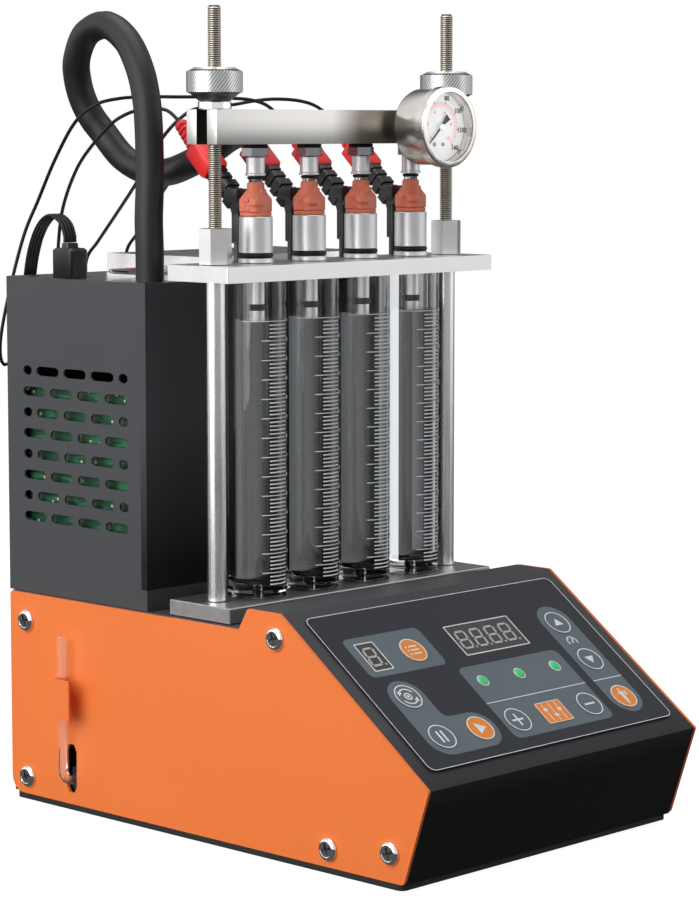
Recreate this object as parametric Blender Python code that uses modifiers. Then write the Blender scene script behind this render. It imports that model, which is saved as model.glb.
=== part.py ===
"""Fuel injector cleaner and tester, built for Blender 4.5 in metres with +Z up.

A sheet metal cabinet with a sloping key panel carries a column of four graduated
tubes, the injectors that spray into them, a pressure rail clamped by two knurled
nuts, a pressure gauge, and a rear housing with an ultrasonic bath on its top.
All places are first given from the middle of the cabinet's front nose at floor
level: x to the right, y towards the back, z up.  One empty then moves the whole
assembly so that its origin is the centre of its footprint.
"""
import math

import bmesh
import bpy
from mathutils import Matrix, Vector

# Clearances
GAP = 0.0003
RUN_CLEARANCE = 0.0003
OVERRUN = 0.002

# Feet and floor height of the cabinet
FOOT_HEIGHT = 0.005
FOOT_RADIUS = 0.011
FOOT_TAPER = 0.0015
FOOT_INSET_X = 0.022
FOOT_INSET_Y = 0.030

# Cabinet profile, seen from the side
CABINET_WIDTH = 0.240
SIDE_PLATE_THICKNESS = 0.002
CABINET_DEPTH = 0.3576
FRONT_FOOT_DEPTH = 0.0187
NOSE_HEIGHT = 0.0608
PANEL_DEPTH = 0.1161
PANEL_TOP_HEIGHT = 0.1458
BRIDGE_DEPTH = 0.0264
STEP_RUN = 0.0075
DECK_HEIGHT = 0.1327
REAR_CORNER_RADIUS = 0.010
FRONT_CORNER_RADIUS = 0.003
BEND_RADIUS = 0.002
SHEET_THICKNESS = 0.0015

# Slot in the left plate for the drain tube
DRAIN_SLOT_WIDTH = 0.0095
DRAIN_SLOT_LOW = 0.0116
DRAIN_SLOT_HIGH = 0.0434

# Drain tube and its clip on the left plate
DRAIN_INSET_Y = 0.0576
DRAIN_TUBE_DIAMETER = 0.006
DRAIN_TUBE_STANDOFF = 0.0070
DRAIN_ELBOW_HEIGHT = 0.020
DRAIN_ELBOW_RADIUS = 0.008
DRAIN_TOP = 0.1105
DRAIN_REACH_INSIDE = 0.012
CLIP_HEIGHT = 0.025
CLIP_LOW = 0.060
CLIP_WALL = 0.0015
CLIP_LENGTH = 0.019
CLIP_OVERHANG = 0.0042
UNION_THICKNESS = 0.004
UNION_WIDTH = 0.014
UNION_RISE = 0.007

# Key panel, places measured down the slope from its top edge
LABEL_MARGIN_X = 0.012
LABEL_TOP = 0.008
LABEL_BOTTOM = 0.132
LABEL_THICKNESS = 0.0012
LABEL_CORNER_RADIUS = 0.006
KEY_RADIUS = 0.0092
KEY_THICKNESS = 0.0011
KEY_LIFT = 0.0009
KEY_BOX_WIDTH = 0.0216
KEY_BOX_HEIGHT = 0.0168
KEY_BOX_RADIUS = 0.0012
KEY_COLUMN_COUNT = 6
KEY_MARGIN_LEFT = 0.0273
KEY_MARGIN_RIGHT = 0.0262
KEY_ROW_PITCH = 0.0325
KEY_ROW_FIRST = 0.0455
WINDOW_WIDTH = 0.0565
WINDOW_HEIGHT = 0.0243
WINDOW_COLUMN = 3
WINDOW_SHIFT_X = 0.0005
WINDOW_S = 0.0447
WINDOW_CORNER_RADIUS = 0.001

# Tube column: plates, posts, rods
STATION_PITCH = 0.045
STATION_COUNT = 4
COLUMN_Y = 0.1886
POST_X = 0.1005
PLATE_WIDTH = 0.2304
PLATE_DEPTH = 0.0519
PLATE_THICKNESS = 0.0095
PLATE_CHAMFER = 0.0006
TUBE_HEIGHT = 0.1893
TUBE_DIAMETER = 0.036
TUBE_WALL = 0.004
TUBE_FLOOR = 0.007
TUBE_FLOOR_RADIUS = 0.006
TUBE_FOOT_GROOVE = 0.0012
TUBE_FOOT_HEIGHT = 0.003
TUBE_DRAIN_DIAMETER = 0.005
POST_DIAMETER = 0.0114
ROD_DIAMETER = 0.008
ROD_PAST_RAIL = 0.0604
ROD_CHAMFER = 0.0008
ROD_HEX_ACROSS_FLATS = 0.017
ROD_HEX_HEIGHT = 0.0212

# Injector cups standing on the upper plate
CUP_DIAMETER = 0.0202
CUP_HEIGHT = 0.0275
CUP_FLANGE_DIAMETER = 0.0230
CUP_FLANGE_HEIGHT = 0.003
CUP_RING_HEIGHT = 0.0029
CUP_RING_DIAMETER = 0.0190
CUP_WALL = 0.0016
CUP_FLOOR = 0.0065
SPIGOT_DIAMETER = 0.0104
SPIGOT_BORE = 0.006
SPIGOT_LENGTH = 0.0352
SPIGOT_RING_DIAMETER = 0.012
SPIGOT_RING_HEIGHT = 0.0032
SPIGOT_RING_DROP = 0.0248

# Injectors
INJECTOR_NOSE_DIAMETER = 0.0145
INJECTOR_NOSE_DEPTH = 0.011
INJECTOR_RIM_DIAMETER = 0.0190
INJECTOR_RIM_HEIGHT = 0.0024
INJECTOR_WAIST_DIAMETER = 0.0156
INJECTOR_WAIST_HEIGHT = 0.0038
INJECTOR_BODY_DIAMETER = 0.0174
INJECTOR_BODY_HEIGHT = 0.0054
INJECTOR_SHOULDER_HEIGHT = 0.0016
INJECTOR_NECK_DIAMETER = 0.0110
INJECTOR_NECK_HEIGHT = 0.0056
INJECTOR_TIP_DIAMETER = 0.0094
INJECTOR_TIP_HEIGHT = 0.0028
INJECTOR_RING_DIAMETER = 0.0106
INJECTOR_INLET_DIAMETER = 0.0056
INJECTOR_INLET_LENGTH = 0.007
SOCKET_WIDTH = 0.0095
SOCKET_DEPTH = 0.0110
SOCKET_LENGTH = 0.0078
SOCKET_RISE = 0.0080
STEM_DIAMETER = 0.0063
STEM_TOP_DROP = 0.0050
STEM_FOOT_RISE = 0.0100
STEM_STEPS = 10
PEG_DIAMETER = 0.0048

# Pulse connectors with their boots, leaning back from the injectors
CONNECTOR_SETBACK = 0.0154
CONNECTOR_RISE = 0.0077
CONNECTOR_TILT_DEG = 43.2
CONNECTOR_BODY_LENGTH = 0.0262
CONNECTOR_BODY_WIDTH = 0.0110
CONNECTOR_BODY_DEPTH = 0.0115
BOOT_LENGTH = 0.0225
BOOT_WIDTH = 0.0160
BOOT_DEPTH = 0.0125
BOOT_NECK_LENGTH = 0.0200
BOOT_NECK_DIAMETER = 0.0098
BOOT_CHAMFER = 0.0022
NECK_CHAMFER_SHARE = 0.29
NECK_TIP_SHARE = 0.72

# Pressure rail with its four adapters
RAIL_LENGTH = 0.222
RAIL_DEPTH = 0.0256
RAIL_HEIGHT = 0.0203
RAIL_RISE = 0.0705
RAIL_SLOT_WIDTH = 0.009
RAIL_SLOT_PAST_ROD = 0.0065
SLOT_ROUND_SHARE = 0.99
ADAPTER_HEX_ACROSS_FLATS = 0.0145
ADAPTER_HEX_HEIGHT = 0.0053
ADAPTER_SEAL_DIAMETER = 0.0150
ADAPTER_SEAL_HEIGHT = 0.0020
ADAPTER_STEM_DIAMETER = 0.0112
ADAPTER_STEM_LENGTH = 0.0113
ADAPTER_LIP_DIAMETER = 0.0124
ADAPTER_LIP_HEIGHT = 0.0014
ADAPTER_BORE = 0.0072
ADAPTER_BORE_DEPTH = 0.0120
RAIL_PORT_X = -0.045
RAIL_PORT_RISE = 0.0083
RAIL_PORT_DIAMETER = 0.0150
RAIL_PORT_LENGTH = 0.003

# Knurled nuts
NUT_DIAMETER = 0.0332
NUT_KNURL_HEIGHT = 0.013
NUT_DOME_HEIGHT = 0.0018
NUT_DOME_DIAMETER = 0.0240
NUT_CONE_HEIGHT = 0.0051
NUT_NECK_DIAMETER = 0.0188
NUT_WASHER_DIAMETER = 0.0196
NUT_WASHER_HEIGHT = 0.0042
NUT_KNURL_DEPTH = 0.0007
NUT_KNURL_TEETH = 24

# Pressure gauge on the front of the rail
GAUGE_X = 0.0552
GAUGE_RISE = 0.0101
GAUGE_DIAMETER = 0.0495
GAUGE_BEZEL_LENGTH = 0.0075
GAUGE_CASE_DIAMETER = 0.0465
GAUGE_CASE_LENGTH = 0.0268
GAUGE_WALL = 0.0012
GAUGE_BEZEL_WALL = 0.0020
GAUGE_GLASS_THICKNESS = 0.0016
GAUGE_GLASS_RECESS = 0.0008
GAUGE_DIAL_THICKNESS = 0.0010
GAUGE_DIAL_DEPTH = 0.0085
GAUGE_STEM_DIAMETER = 0.0100
GAUGE_STEM_LENGTH = 0.0047
NEEDLE_TIP_SHARE = 0.35
NEEDLE_LENGTH = 0.0165
NEEDLE_TAIL = 0.006
NEEDLE_WIDTH = 0.0016
NEEDLE_THICKNESS = 0.0005
NEEDLE_HUB_RADIUS = 0.0022
NEEDLE_HUB_LENGTH = 0.0016
NEEDLE_ZERO_DEG = 225.0

# Rear housing with vents, bath and mains inlet
HOUSING_INSET_X = 0.0027
HOUSING_SETBACK = 0.01735
HOUSING_REAR_Y = 0.3610
HOUSING_HEIGHT = 0.1971
VENT_LENGTH = 0.0214
VENT_WIDTH = 0.0058
VENT_PITCH_Y = 0.0255
VENT_PITCH_Z = 0.0130
VENT_ROWS = 8
VENT_TOP_DROP = 0.0579
VENT_MIDDLE_Y = 0.2968
VENT_LONG_ROW_COUNT = 4
INLET_X = 0.060
INLET_RISE = 0.0317
INLET_WIDTH = 0.028
INLET_HEIGHT = 0.020
INLET_DEPTH = 0.020
INLET_WALL = 0.002
BOARD_THICKNESS = 0.0016
BOARD_LENGTH = 0.103
BOARD_HEIGHT = 0.095
BOARD_STANDOFF = 0.0046
BOARD_SPACER_RADIUS = 0.003
BOARD_RISE = 0.0387
BOARD_Y = 0.2975
BOARD_PART_HEIGHT = 0.008
BOARD_PART_SHARES = [(0.25, 0.65, 0.18), (0.62, 0.62, 0.26), (0.40, 0.25, 0.14)]

# Bath, lid and folding handle
BATH_SHEET = 0.0012
BATH_DEPTH = 0.060
BATH_MARGIN = 0.006
BATH_FLOOR_TAPER = 0.004
LID_INSET_X = 0.0123
LID_LENGTH = 0.147
LID_FRONT_Y = 0.262
LID_REAR_Y = 0.352
LID_HEIGHT = 0.0119
LID_SHEET = 0.0012
HANDLE_WIRE = 0.003
HANDLE_REACH = 0.0405
HANDLE_WIDTH = 0.033
HANDLE_MIDDLE_Y = 0.283
HANDLE_PIN_LENGTH = 0.0075
HANDLE_CORNER = 0.005
HANDLE_HEIGHT = 0.0036
LUG_LENGTH = 0.0078
LUG_WIDTH = 0.004
LUG_HEIGHT = 0.006
LUG_INSET = 0.002

# Pulse plug, hose and cables
PLUG_INSET_X = 0.0079
PLUG_Y = 0.309
PLUG_WIDTH = 0.0143
PLUG_DEPTH = 0.018
PLUG_HEIGHT = 0.0214
PLUG_CHAMFER = 0.003
HOSE_DIAMETER = 0.0171
CABLE_DIAMETER = 0.0022
CABLE_SPACING = 0.0026

# Facet counts
ROUND_STEPS = 16
TUBE_STEPS = 20
GAUGE_STEPS = 24
KEY_STEPS = 14
FILLET_STEPS = 4
SLOT_END_STEPS = 3
TEETH_STEPS_PER_TOOTH = 2

# Colours: red, green, blue, roughness, metallic
FINISHES = {
    "orange_paint": (0.96, 0.21, 0.06, 0.45, 0.0),
    "black_sheet": (0.035, 0.036, 0.040, 0.55, 0.0),
    "grey_sheet": (0.070, 0.072, 0.078, 0.50, 0.0),
    "panel_print": (0.027, 0.032, 0.042, 0.40, 0.0),
    "window": (0.010, 0.010, 0.012, 0.10, 0.0),
    "silver_plate": (0.78, 0.77, 0.77, 0.30, 1.0),
    "stainless": (0.72, 0.72, 0.72, 0.22, 1.0),
    "dark_steel": (0.10, 0.10, 0.11, 0.35, 0.8),
    "thread_steel": (0.40, 0.36, 0.31, 0.35, 1.0),
    "smoked_tube": (0.11, 0.12, 0.13, 0.06, 0.0),
    "clear_glass": (0.85, 0.88, 0.90, 0.03, 0.0),
    "clear_plastic": (0.80, 0.82, 0.82, 0.08, 0.0),
    "gauge_face": (0.85, 0.85, 0.83, 0.50, 0.0),
    "salmon_plastic": (0.75, 0.17, 0.10, 0.40, 0.0),
    "red_rubber": (0.68, 0.012, 0.016, 0.45, 0.0),
    "black_rubber": (0.018, 0.018, 0.020, 0.60, 0.0),
    "orange_key": (0.91, 0.26, 0.02, 0.40, 0.0),
    "grey_key": (0.10, 0.14, 0.16, 0.40, 0.0),
    "board_green": (0.02, 0.22, 0.09, 0.50, 0.0),
}

# Where things stand, from the sizes above
CHASSIS_BOTTOM = FOOT_HEIGHT
PANEL_SLOPE = math.atan2(PANEL_TOP_HEIGHT - NOSE_HEIGHT, PANEL_DEPTH)
SIDE_OUTER_X = CABINET_WIDTH / 2
SIDE_INNER_X = SIDE_OUTER_X - SIDE_PLATE_THICKNESS
SHEET_HALF_WIDTH = SIDE_INNER_X - GAP
LABEL_WIDTH = CABINET_WIDTH - 2 * LABEL_MARGIN_X
KEY_COLUMN_FIRST = KEY_MARGIN_LEFT - LABEL_WIDTH / 2
KEY_COLUMN_SPAN = LABEL_WIDTH - KEY_MARGIN_LEFT - KEY_MARGIN_RIGHT
KEY_COLUMN_PITCH = KEY_COLUMN_SPAN / (KEY_COLUMN_COUNT - 1)
WINDOW_X = KEY_COLUMN_FIRST + WINDOW_COLUMN * KEY_COLUMN_PITCH + WINDOW_SHIFT_X
HOUSING_WIDTH = CABINET_WIDTH - 2 * HOUSING_INSET_X
LID_RIGHT_X = HOUSING_WIDTH / 2 - LID_INSET_X
LID_LEFT_X = LID_RIGHT_X - LID_LENGTH
PLUG_X = PLUG_INSET_X - HOUSING_WIDTH / 2
DRAIN_Y = CABINET_DEPTH - DRAIN_INSET_Y
DECK_SURFACE = DECK_HEIGHT + GAP
LOWER_PLATE_BOTTOM = DECK_SURFACE + GAP
LOWER_PLATE_TOP = LOWER_PLATE_BOTTOM + PLATE_THICKNESS
TUBE_BOTTOM = LOWER_PLATE_TOP + GAP
TUBE_TOP = TUBE_BOTTOM + TUBE_HEIGHT
UPPER_PLATE_BOTTOM = TUBE_TOP + GAP
UPPER_PLATE_TOP = UPPER_PLATE_BOTTOM + PLATE_THICKNESS
CUP_BOTTOM = UPPER_PLATE_TOP + GAP
CUP_TOP = CUP_BOTTOM + CUP_HEIGHT
RAIL_BOTTOM = UPPER_PLATE_TOP + RAIL_RISE
RAIL_TOP = RAIL_BOTTOM + RAIL_HEIGHT
RAIL_PORT_Z = RAIL_BOTTOM + RAIL_PORT_RISE
ROD_TOP = RAIL_TOP + ROD_PAST_RAIL
GAUGE_Z = RAIL_BOTTOM + GAUGE_RISE
RAIL_FRONT_Y = COLUMN_Y - RAIL_DEPTH / 2
RAIL_REAR_Y = COLUMN_Y + RAIL_DEPTH / 2
ADAPTER_TOP = RAIL_BOTTOM - ADAPTER_SEAL_HEIGHT
ADAPTER_HEX_LOW = ADAPTER_TOP - ADAPTER_HEX_HEIGHT
ADAPTER_BOTTOM = ADAPTER_HEX_LOW - ADAPTER_STEM_LENGTH
INJECTOR_TOP = ADAPTER_BOTTOM - GAP
INJECTOR_SEAT = CUP_TOP + GAP
CONNECTOR_AXIS_Y = COLUMN_Y + CONNECTOR_SETBACK
CONNECTOR_AXIS_Z = INJECTOR_SEAT + CONNECTOR_RISE
HOUSING_FRONT_Y = COLUMN_Y + PLATE_DEPTH / 2 + HOUSING_SETBACK
HOUSING_BOTTOM = DECK_SURFACE + GAP
HOUSING_TOP = HOUSING_BOTTOM + HOUSING_HEIGHT
VENT_TOP_Z = HOUSING_TOP - VENT_TOP_DROP
INLET_Z = HOUSING_BOTTOM + INLET_RISE
BOARD_LOW = HOUSING_BOTTOM + BOARD_RISE
DRAIN_X = -SIDE_OUTER_X - DRAIN_TUBE_STANDOFF
CLIP_OUTER_X = DRAIN_X - DRAIN_TUBE_DIAMETER / 2 - GAP - CLIP_WALL
STATIONS = [(i - (STATION_COUNT - 1) / 2) * STATION_PITCH for i in range(STATION_COUNT)]

# Routes in metres. The hose leaves the housing top, arches over and enters the
# rail from behind. Each pulse cable leaves the plug, hangs in a loop behind the
# housing and rises to its boot.
HOSE_ROUTE = [
    (-0.1045, 0.2416, 0.3307), (-0.1045, 0.2416, 0.3480), (-0.1038, 0.2430, 0.3674),
    (-0.1020, 0.2440, 0.3865), (-0.1001, 0.2460, 0.4055), (-0.0989, 0.2480, 0.4239),
    (-0.0977, 0.2510, 0.4388), (-0.0954, 0.2590, 0.4568), (-0.0925, 0.2740, 0.4745),
    (-0.0911, 0.2940, 0.4845), (-0.0912, 0.3130, 0.4795), (-0.0896, 0.3240, 0.4645),
    (-0.0860, 0.3275, 0.4516), (-0.0821, 0.3270, 0.4393), (-0.0787, 0.3230, 0.4288),
    (-0.0757, 0.3160, 0.4196), (-0.0737, 0.3000, 0.4043), (-0.0713, 0.2830, 0.3966),
    (-0.0673, 0.2680, 0.3952), (-0.0615, 0.2570, 0.3990), (-0.0525, 0.2455, 0.4070),
    (-0.0470, 0.2330, 0.4160), (-0.0450, 0.2200, 0.4210), (-0.0450, 0.2047, 0.4210),
]
PLUG_ARCH = [
    (0.0000, 0.3090, 0.3524), (0.0000, 0.3090, 0.3560), (0.0018, 0.3150, 0.3640),
    (0.0042, 0.3270, 0.3685), (0.0070, 0.3390, 0.3655), (0.0098, 0.3500, 0.3570),
    (0.0124, 0.3590, 0.3440), (0.0140, 0.3645, 0.3290), (0.0140, 0.3665, 0.3120),
]
CABLE_TAILS = [
    [(-0.0955, 0.3705, 0.2900), (-0.0920, 0.3720, 0.2740), (-0.0840, 0.3725, 0.2660),
     (-0.0750, 0.3725, 0.2740), (-0.0705, 0.3715, 0.2900), (-0.0690, 0.3690, 0.3200),
     (-0.0705, 0.3660, 0.3480), (-0.0745, 0.3560, 0.3730), (-0.0880, 0.3260, 0.3980),
     (-0.0965, 0.2980, 0.4150), (-0.0895, 0.2900, 0.4260), (-0.0815, 0.2820, 0.4320),
     (-0.0740, 0.2740, 0.4335), (-0.0690, 0.2650, 0.4330)],
    [(-0.0890, 0.3645, 0.2860), (-0.0800, 0.3645, 0.2560), (-0.0550, 0.3650, 0.2440),
     (-0.0310, 0.3655, 0.2560), (-0.0190, 0.3660, 0.2860), (-0.0150, 0.3660, 0.3180),
     (-0.0142, 0.3645, 0.3420), (-0.0162, 0.3520, 0.3540), (-0.0201, 0.3350, 0.3680),
     (-0.0262, 0.3140, 0.3838), (-0.0275, 0.3000, 0.3950), (-0.0255, 0.2870, 0.4075),
     (-0.0235, 0.2740, 0.4200), (-0.0226, 0.2640, 0.4315)],
    [(-0.1000, 0.3735, 0.2880), (-0.1020, 0.3755, 0.2770), (-0.1070, 0.3760, 0.2730),
     (-0.1110, 0.3755, 0.2790), (-0.1110, 0.3740, 0.2950), (-0.1060, 0.3700, 0.3250),
     (-0.0990, 0.3650, 0.3560), (-0.0958, 0.3550, 0.3772), (-0.0963, 0.3380, 0.4023),
     (-0.0972, 0.3180, 0.4250), (-0.0935, 0.3030, 0.4361), (-0.0824, 0.2920, 0.4402),
     (-0.0663, 0.2830, 0.4412), (-0.0489, 0.2760, 0.4412), (-0.0323, 0.2700, 0.4412),
     (-0.0177, 0.2620, 0.4405), (-0.0048, 0.2575, 0.4395), (0.0090, 0.2570, 0.4360)],
    [(-0.0910, 0.3675, 0.2880), (-0.0850, 0.3685, 0.2680), (-0.0690, 0.3690, 0.2560),
     (-0.0540, 0.3690, 0.2680), (-0.0480, 0.3690, 0.2900), (-0.0460, 0.3690, 0.3160),
     (-0.0466, 0.3665, 0.3380), (-0.0495, 0.3520, 0.3500), (-0.0613, 0.3220, 0.3671),
     (-0.0781, 0.2850, 0.3861), (-0.0850, 0.2690, 0.3960), (-0.0700, 0.2660, 0.4176),
     (-0.0497, 0.2680, 0.4310), (-0.0323, 0.2705, 0.4350), (-0.0068, 0.2725, 0.4365),
     (0.0030, 0.2620, 0.4390), (0.0203, 0.2605, 0.4402), (0.0400, 0.2595, 0.4392),
     (0.0550, 0.2585, 0.4355)],
]
CABLE_SLOT_ORDER = [1, 3, 0, 2]
HOSE_POINT_COUNT = 44
CABLE_POINT_COUNT = 40


def clear_scene():
    """Empty the file and make the two collections."""
    for item in list(bpy.data.objects):
        bpy.data.objects.remove(item, do_unlink=True)
    model = bpy.data.collections.new("injector_tester")
    tools = bpy.data.collections.new("cutters")
    bpy.context.scene.collection.children.link(model)
    bpy.context.scene.collection.children.link(tools)
    return model, tools


MODEL, CUTTERS = clear_scene()


def make_finish(finish):
    """Principled material with one plain colour."""
    red, green, blue, roughness, metallic = FINISHES[finish]
    material = bpy.data.materials.new(finish)
    material.use_nodes = True
    shader = material.node_tree.nodes["Principled BSDF"]
    shader.inputs["Base Color"].default_value = (red, green, blue, 1)
    shader.inputs["Roughness"].default_value = roughness
    shader.inputs["Metallic"].default_value = metallic
    return material


MATERIALS = {finish: make_finish(finish) for finish in FINISHES}


def make_empty(name, location, rotation=(0, 0, 0), parent=None):
    """Empty that carries pieces, or marks a joint's axis."""
    empty = bpy.data.objects.new(name, None)
    empty.location = location
    empty.rotation_euler = rotation
    empty.parent = parent
    MODEL.objects.link(empty)
    return empty


def footprint_centre():
    """Middle of the footprint, from the clip on the left to the right plate."""
    middle_x = (CLIP_OUTER_X + SIDE_OUTER_X) / 2
    middle_y = HOUSING_REAR_Y / 2
    return middle_x, middle_y


CENTRE_X, CENTRE_Y = footprint_centre()
BASE = make_empty("assembly", (-CENTRE_X, -CENTRE_Y, 0))


def place(item, finish, parent=BASE, location=(0, 0, 0), rotation=(0, 0, 0)):
    """Give a piece its material, its parent and its place."""
    item.data.materials.clear()
    item.data.materials.append(MATERIALS[finish])
    item.parent = parent
    item.location = location
    item.rotation_euler = rotation
    return item


def as_cutter(item):
    """Move a helper solid out of the model."""
    MODEL.objects.unlink(item)
    CUTTERS.objects.link(item)
    item.hide_render = True
    item.display_type = "WIRE"
    item.parent = BASE
    return item


def mesh_object(name, work):
    """Object from a bmesh, with its faces turned outwards."""
    bmesh.ops.recalc_face_normals(work, faces=work.faces)
    mesh = bpy.data.meshes.new(name)
    work.to_mesh(mesh)
    work.free()
    item = bpy.data.objects.new(name, mesh)
    MODEL.objects.link(item)
    return item


def sheet_object(name, work, thickness):
    """Object from a bmesh of bent sheet, thickened inwards."""
    mesh = bpy.data.meshes.new(name)
    work.to_mesh(mesh)
    work.free()
    item = bpy.data.objects.new(name, mesh)
    MODEL.objects.link(item)
    wall = item.modifiers.new("sheet", "SOLIDIFY")
    wall.thickness = thickness
    wall.offset = -1
    wall.use_even_offset = True
    return item


def add_bevel(item, width, segments=1):
    """Break the sharp edges of a piece."""
    bevel = item.modifiers.new("edges", "BEVEL")
    bevel.width = width
    bevel.segments = segments
    bevel.limit_method = "ANGLE"
    bevel.use_clamp_overlap = True
    return item


def block(name, low, high):
    """Box between two corners."""
    low = Vector(low)
    high = Vector(high)
    size = high - low
    middle = (high + low) / 2
    work = bmesh.new()
    stretch = Matrix.Translation(middle) @ Matrix.Diagonal((*size, 1))
    bmesh.ops.create_cube(work, size=1, matrix=stretch)
    return mesh_object(name, work)


def rod(name, radius, low, high, steps=ROUND_STEPS, axis="Z"):
    """Plain cylinder between two points on one axis."""
    low = Vector(low)
    high = Vector(high)
    turns = {"Z": Matrix(), "X": Matrix.Rotation(math.pi / 2, 4, "Y"),
             "Y": Matrix.Rotation(math.pi / 2, 4, "X")}
    work = bmesh.new()
    matrix = Matrix.Translation((low + high) / 2) @ turns[axis]
    bmesh.ops.create_cone(work, cap_ends=True, segments=steps, radius1=radius,
                          radius2=radius, depth=(high - low).length, matrix=matrix)
    return mesh_object(name, work)


def hex_bar(name, across_flats, low, high):
    """Six-sided bar along Z."""
    return rod(name, across_flats / math.sqrt(3), low, high, steps=6)


def turned(name, profile, steps=ROUND_STEPS, closed=False):
    """Turn a profile of (radius, height) points about Z with a Screw modifier."""
    mesh = bpy.data.meshes.new(name)
    points = [(radius, 0, height) for radius, height in profile]
    edges = [(i, i + 1) for i in range(len(points) - 1)]
    if closed:
        edges.append((len(points) - 1, 0))
    mesh.from_pydata(points, edges, [])
    item = bpy.data.objects.new(name, mesh)
    MODEL.objects.link(item)
    screw = item.modifiers.new("turn", "SCREW")
    screw.steps = steps
    screw.render_steps = steps
    screw.use_merge_vertices = True
    screw.merge_threshold = 0.00001
    screw.use_smooth_shade = True
    return item


def fillet(corner, before, after, radius):
    """Arc that rounds one corner of an outline."""
    corner = Vector(corner)
    to_before = (Vector(before) - corner).normalized()
    to_after = (Vector(after) - corner).normalized()
    half = to_before.angle(to_after) / 2
    reach = radius / math.tan(half)
    start = corner + to_before * reach
    end = corner + to_after * reach
    centre = corner + (to_before + to_after).normalized() * (radius / math.sin(half))
    points = []
    for step in range(FILLET_STEPS + 1):
        share = step / FILLET_STEPS
        spoke = (start - centre).lerp(end - centre, share).normalized() * radius
        points.append(centre + spoke)
    return points


def rounded(corners):
    """Outline from corners given as (x, y, radius)."""
    outline = []
    count = len(corners)
    for i, (x, y, radius) in enumerate(corners):
        before = corners[i - 1][:2]
        after = corners[(i + 1) % count][:2]
        if radius > 0:
            outline += fillet((x, y), before, after, radius)
        else:
            outline.append(Vector((x, y)))
    return outline


def rounded_box(x, y, width, height, radius):
    """Rectangle outline with round corners, about its middle."""
    half_x = width / 2
    half_y = height / 2
    return rounded([(x - half_x, y - half_y, radius), (x + half_x, y - half_y, radius),
                    (x + half_x, y + half_y, radius), (x - half_x, y + half_y, radius)])


def ring_outline(x, y, radius, steps):
    """Circle outline."""
    points = []
    for step in range(steps):
        angle = math.tau * step / steps
        points.append(Vector((x + radius * math.cos(angle), y + radius * math.sin(angle))))
    return points


def stadium(x, y, width, height):
    """Slot outline with half-round ends on its longer direction."""
    radius = min(width, height) / 2
    tall = height > width
    reach = max(width, height) / 2 - radius
    points = []
    for side in (0, 1):
        for step in range(SLOT_END_STEPS + 1):
            angle = math.pi * (step / SLOT_END_STEPS + side) - math.pi / 2
            along = radius * math.cos(angle) + (reach if side == 0 else -reach)
            across = radius * math.sin(angle)
            if tall:
                points.append(Vector((x - across, y + along)))
            else:
                points.append(Vector((x + along, y + across)))
    return points


def plate(name, outlines, thickness):
    """Flat plate in the XY plane; outlines after the first are its holes."""
    curve = bpy.data.curves.new(name, "CURVE")
    curve.dimensions = "2D"
    curve.fill_mode = "BOTH"
    curve.extrude = thickness / 2
    for outline in outlines:
        spline = curve.splines.new("POLY")
        spline.points.add(len(outline) - 1)
        for point, place_2d in zip(spline.points, outline):
            point.co = (place_2d[0], place_2d[1], 0, 1)
        spline.use_cyclic_u = True
    item = bpy.data.objects.new(name, curve)
    MODEL.objects.link(item)
    return item


def made_mesh(item):
    """Turn a curve object into a mesh object with its caps welded on."""
    name = item.name
    bpy.context.view_layer.update()
    graph = bpy.context.evaluated_depsgraph_get()
    mesh = bpy.data.meshes.new_from_object(item.evaluated_get(graph))
    work = bmesh.new()
    work.from_mesh(mesh)
    bmesh.ops.remove_doubles(work, verts=work.verts, dist=0.00001)
    bmesh.ops.recalc_face_normals(work, faces=work.faces)
    work.to_mesh(mesh)
    work.free()
    matrix = item.matrix_world.copy()
    bpy.data.objects.remove(item, do_unlink=True)
    solid = bpy.data.objects.new(name, mesh)
    solid.matrix_world = matrix
    MODEL.objects.link(solid)
    return solid


def boolean(item, tool, operation):
    """Cut with, or join on, a helper solid."""
    as_cutter(tool)
    step = item.modifiers.new(operation.lower(), "BOOLEAN")
    step.operation = operation
    step.object = tool
    return item


def cut(item, tool):
    """Take the helper's shape away."""
    return boolean(item, tool, "DIFFERENCE")


def fuse(item, tool):
    """Add the helper's shape."""
    return boolean(item, tool, "UNION")


def smooth_points(route, count):
    """Evenly spaced points on a smooth curve through the route, straight at both ends."""
    fine = []
    last = len(route) - 1
    for i in range(1, last - 1):
        points = [Vector(route[max(i - 1, 0)]), Vector(route[i]),
                  Vector(route[i + 1]), Vector(route[min(i + 2, last)])]
        for step in range(count):
            t = step / count
            weights = (-t + 2 * t**2 - t**3, 2 - 5 * t**2 + 3 * t**3,
                       t + 4 * t**2 - 3 * t**3, -t**2 + t**3)
            total = Vector()
            for weight, point in zip(weights, points):
                total += point * (weight / 2)
            fine.append(total)
    fine.append(Vector(route[-2]))
    lengths = [0.0]
    for first, second in zip(fine, fine[1:]):
        lengths.append(lengths[-1] + (second - first).length)
    even = []
    index = 0
    for step in range(count):
        target = lengths[-1] * step / (count - 1)
        while index < len(fine) - 2 and lengths[index + 1] < target:
            index += 1
        span = lengths[index + 1] - lengths[index]
        even.append(fine[index].lerp(fine[index + 1], (target - lengths[index]) / span))
    return [Vector(route[0])] + even + [Vector(route[-1])]


def flexible(name, points, diameter, resolution, cyclic=False):
    """Round tube along points, with filled ends."""
    curve = bpy.data.curves.new(name, "CURVE")
    curve.dimensions = "3D"
    curve.bevel_depth = diameter / 2
    curve.bevel_resolution = resolution
    curve.use_fill_caps = True
    spline = curve.splines.new("POLY")
    spline.points.add(len(points) - 1)
    for point, position in zip(spline.points, points):
        point.co = (*position, 1)
    spline.use_cyclic_u = cyclic
    item = bpy.data.objects.new(name, curve)
    MODEL.objects.link(item)
    return item


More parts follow.
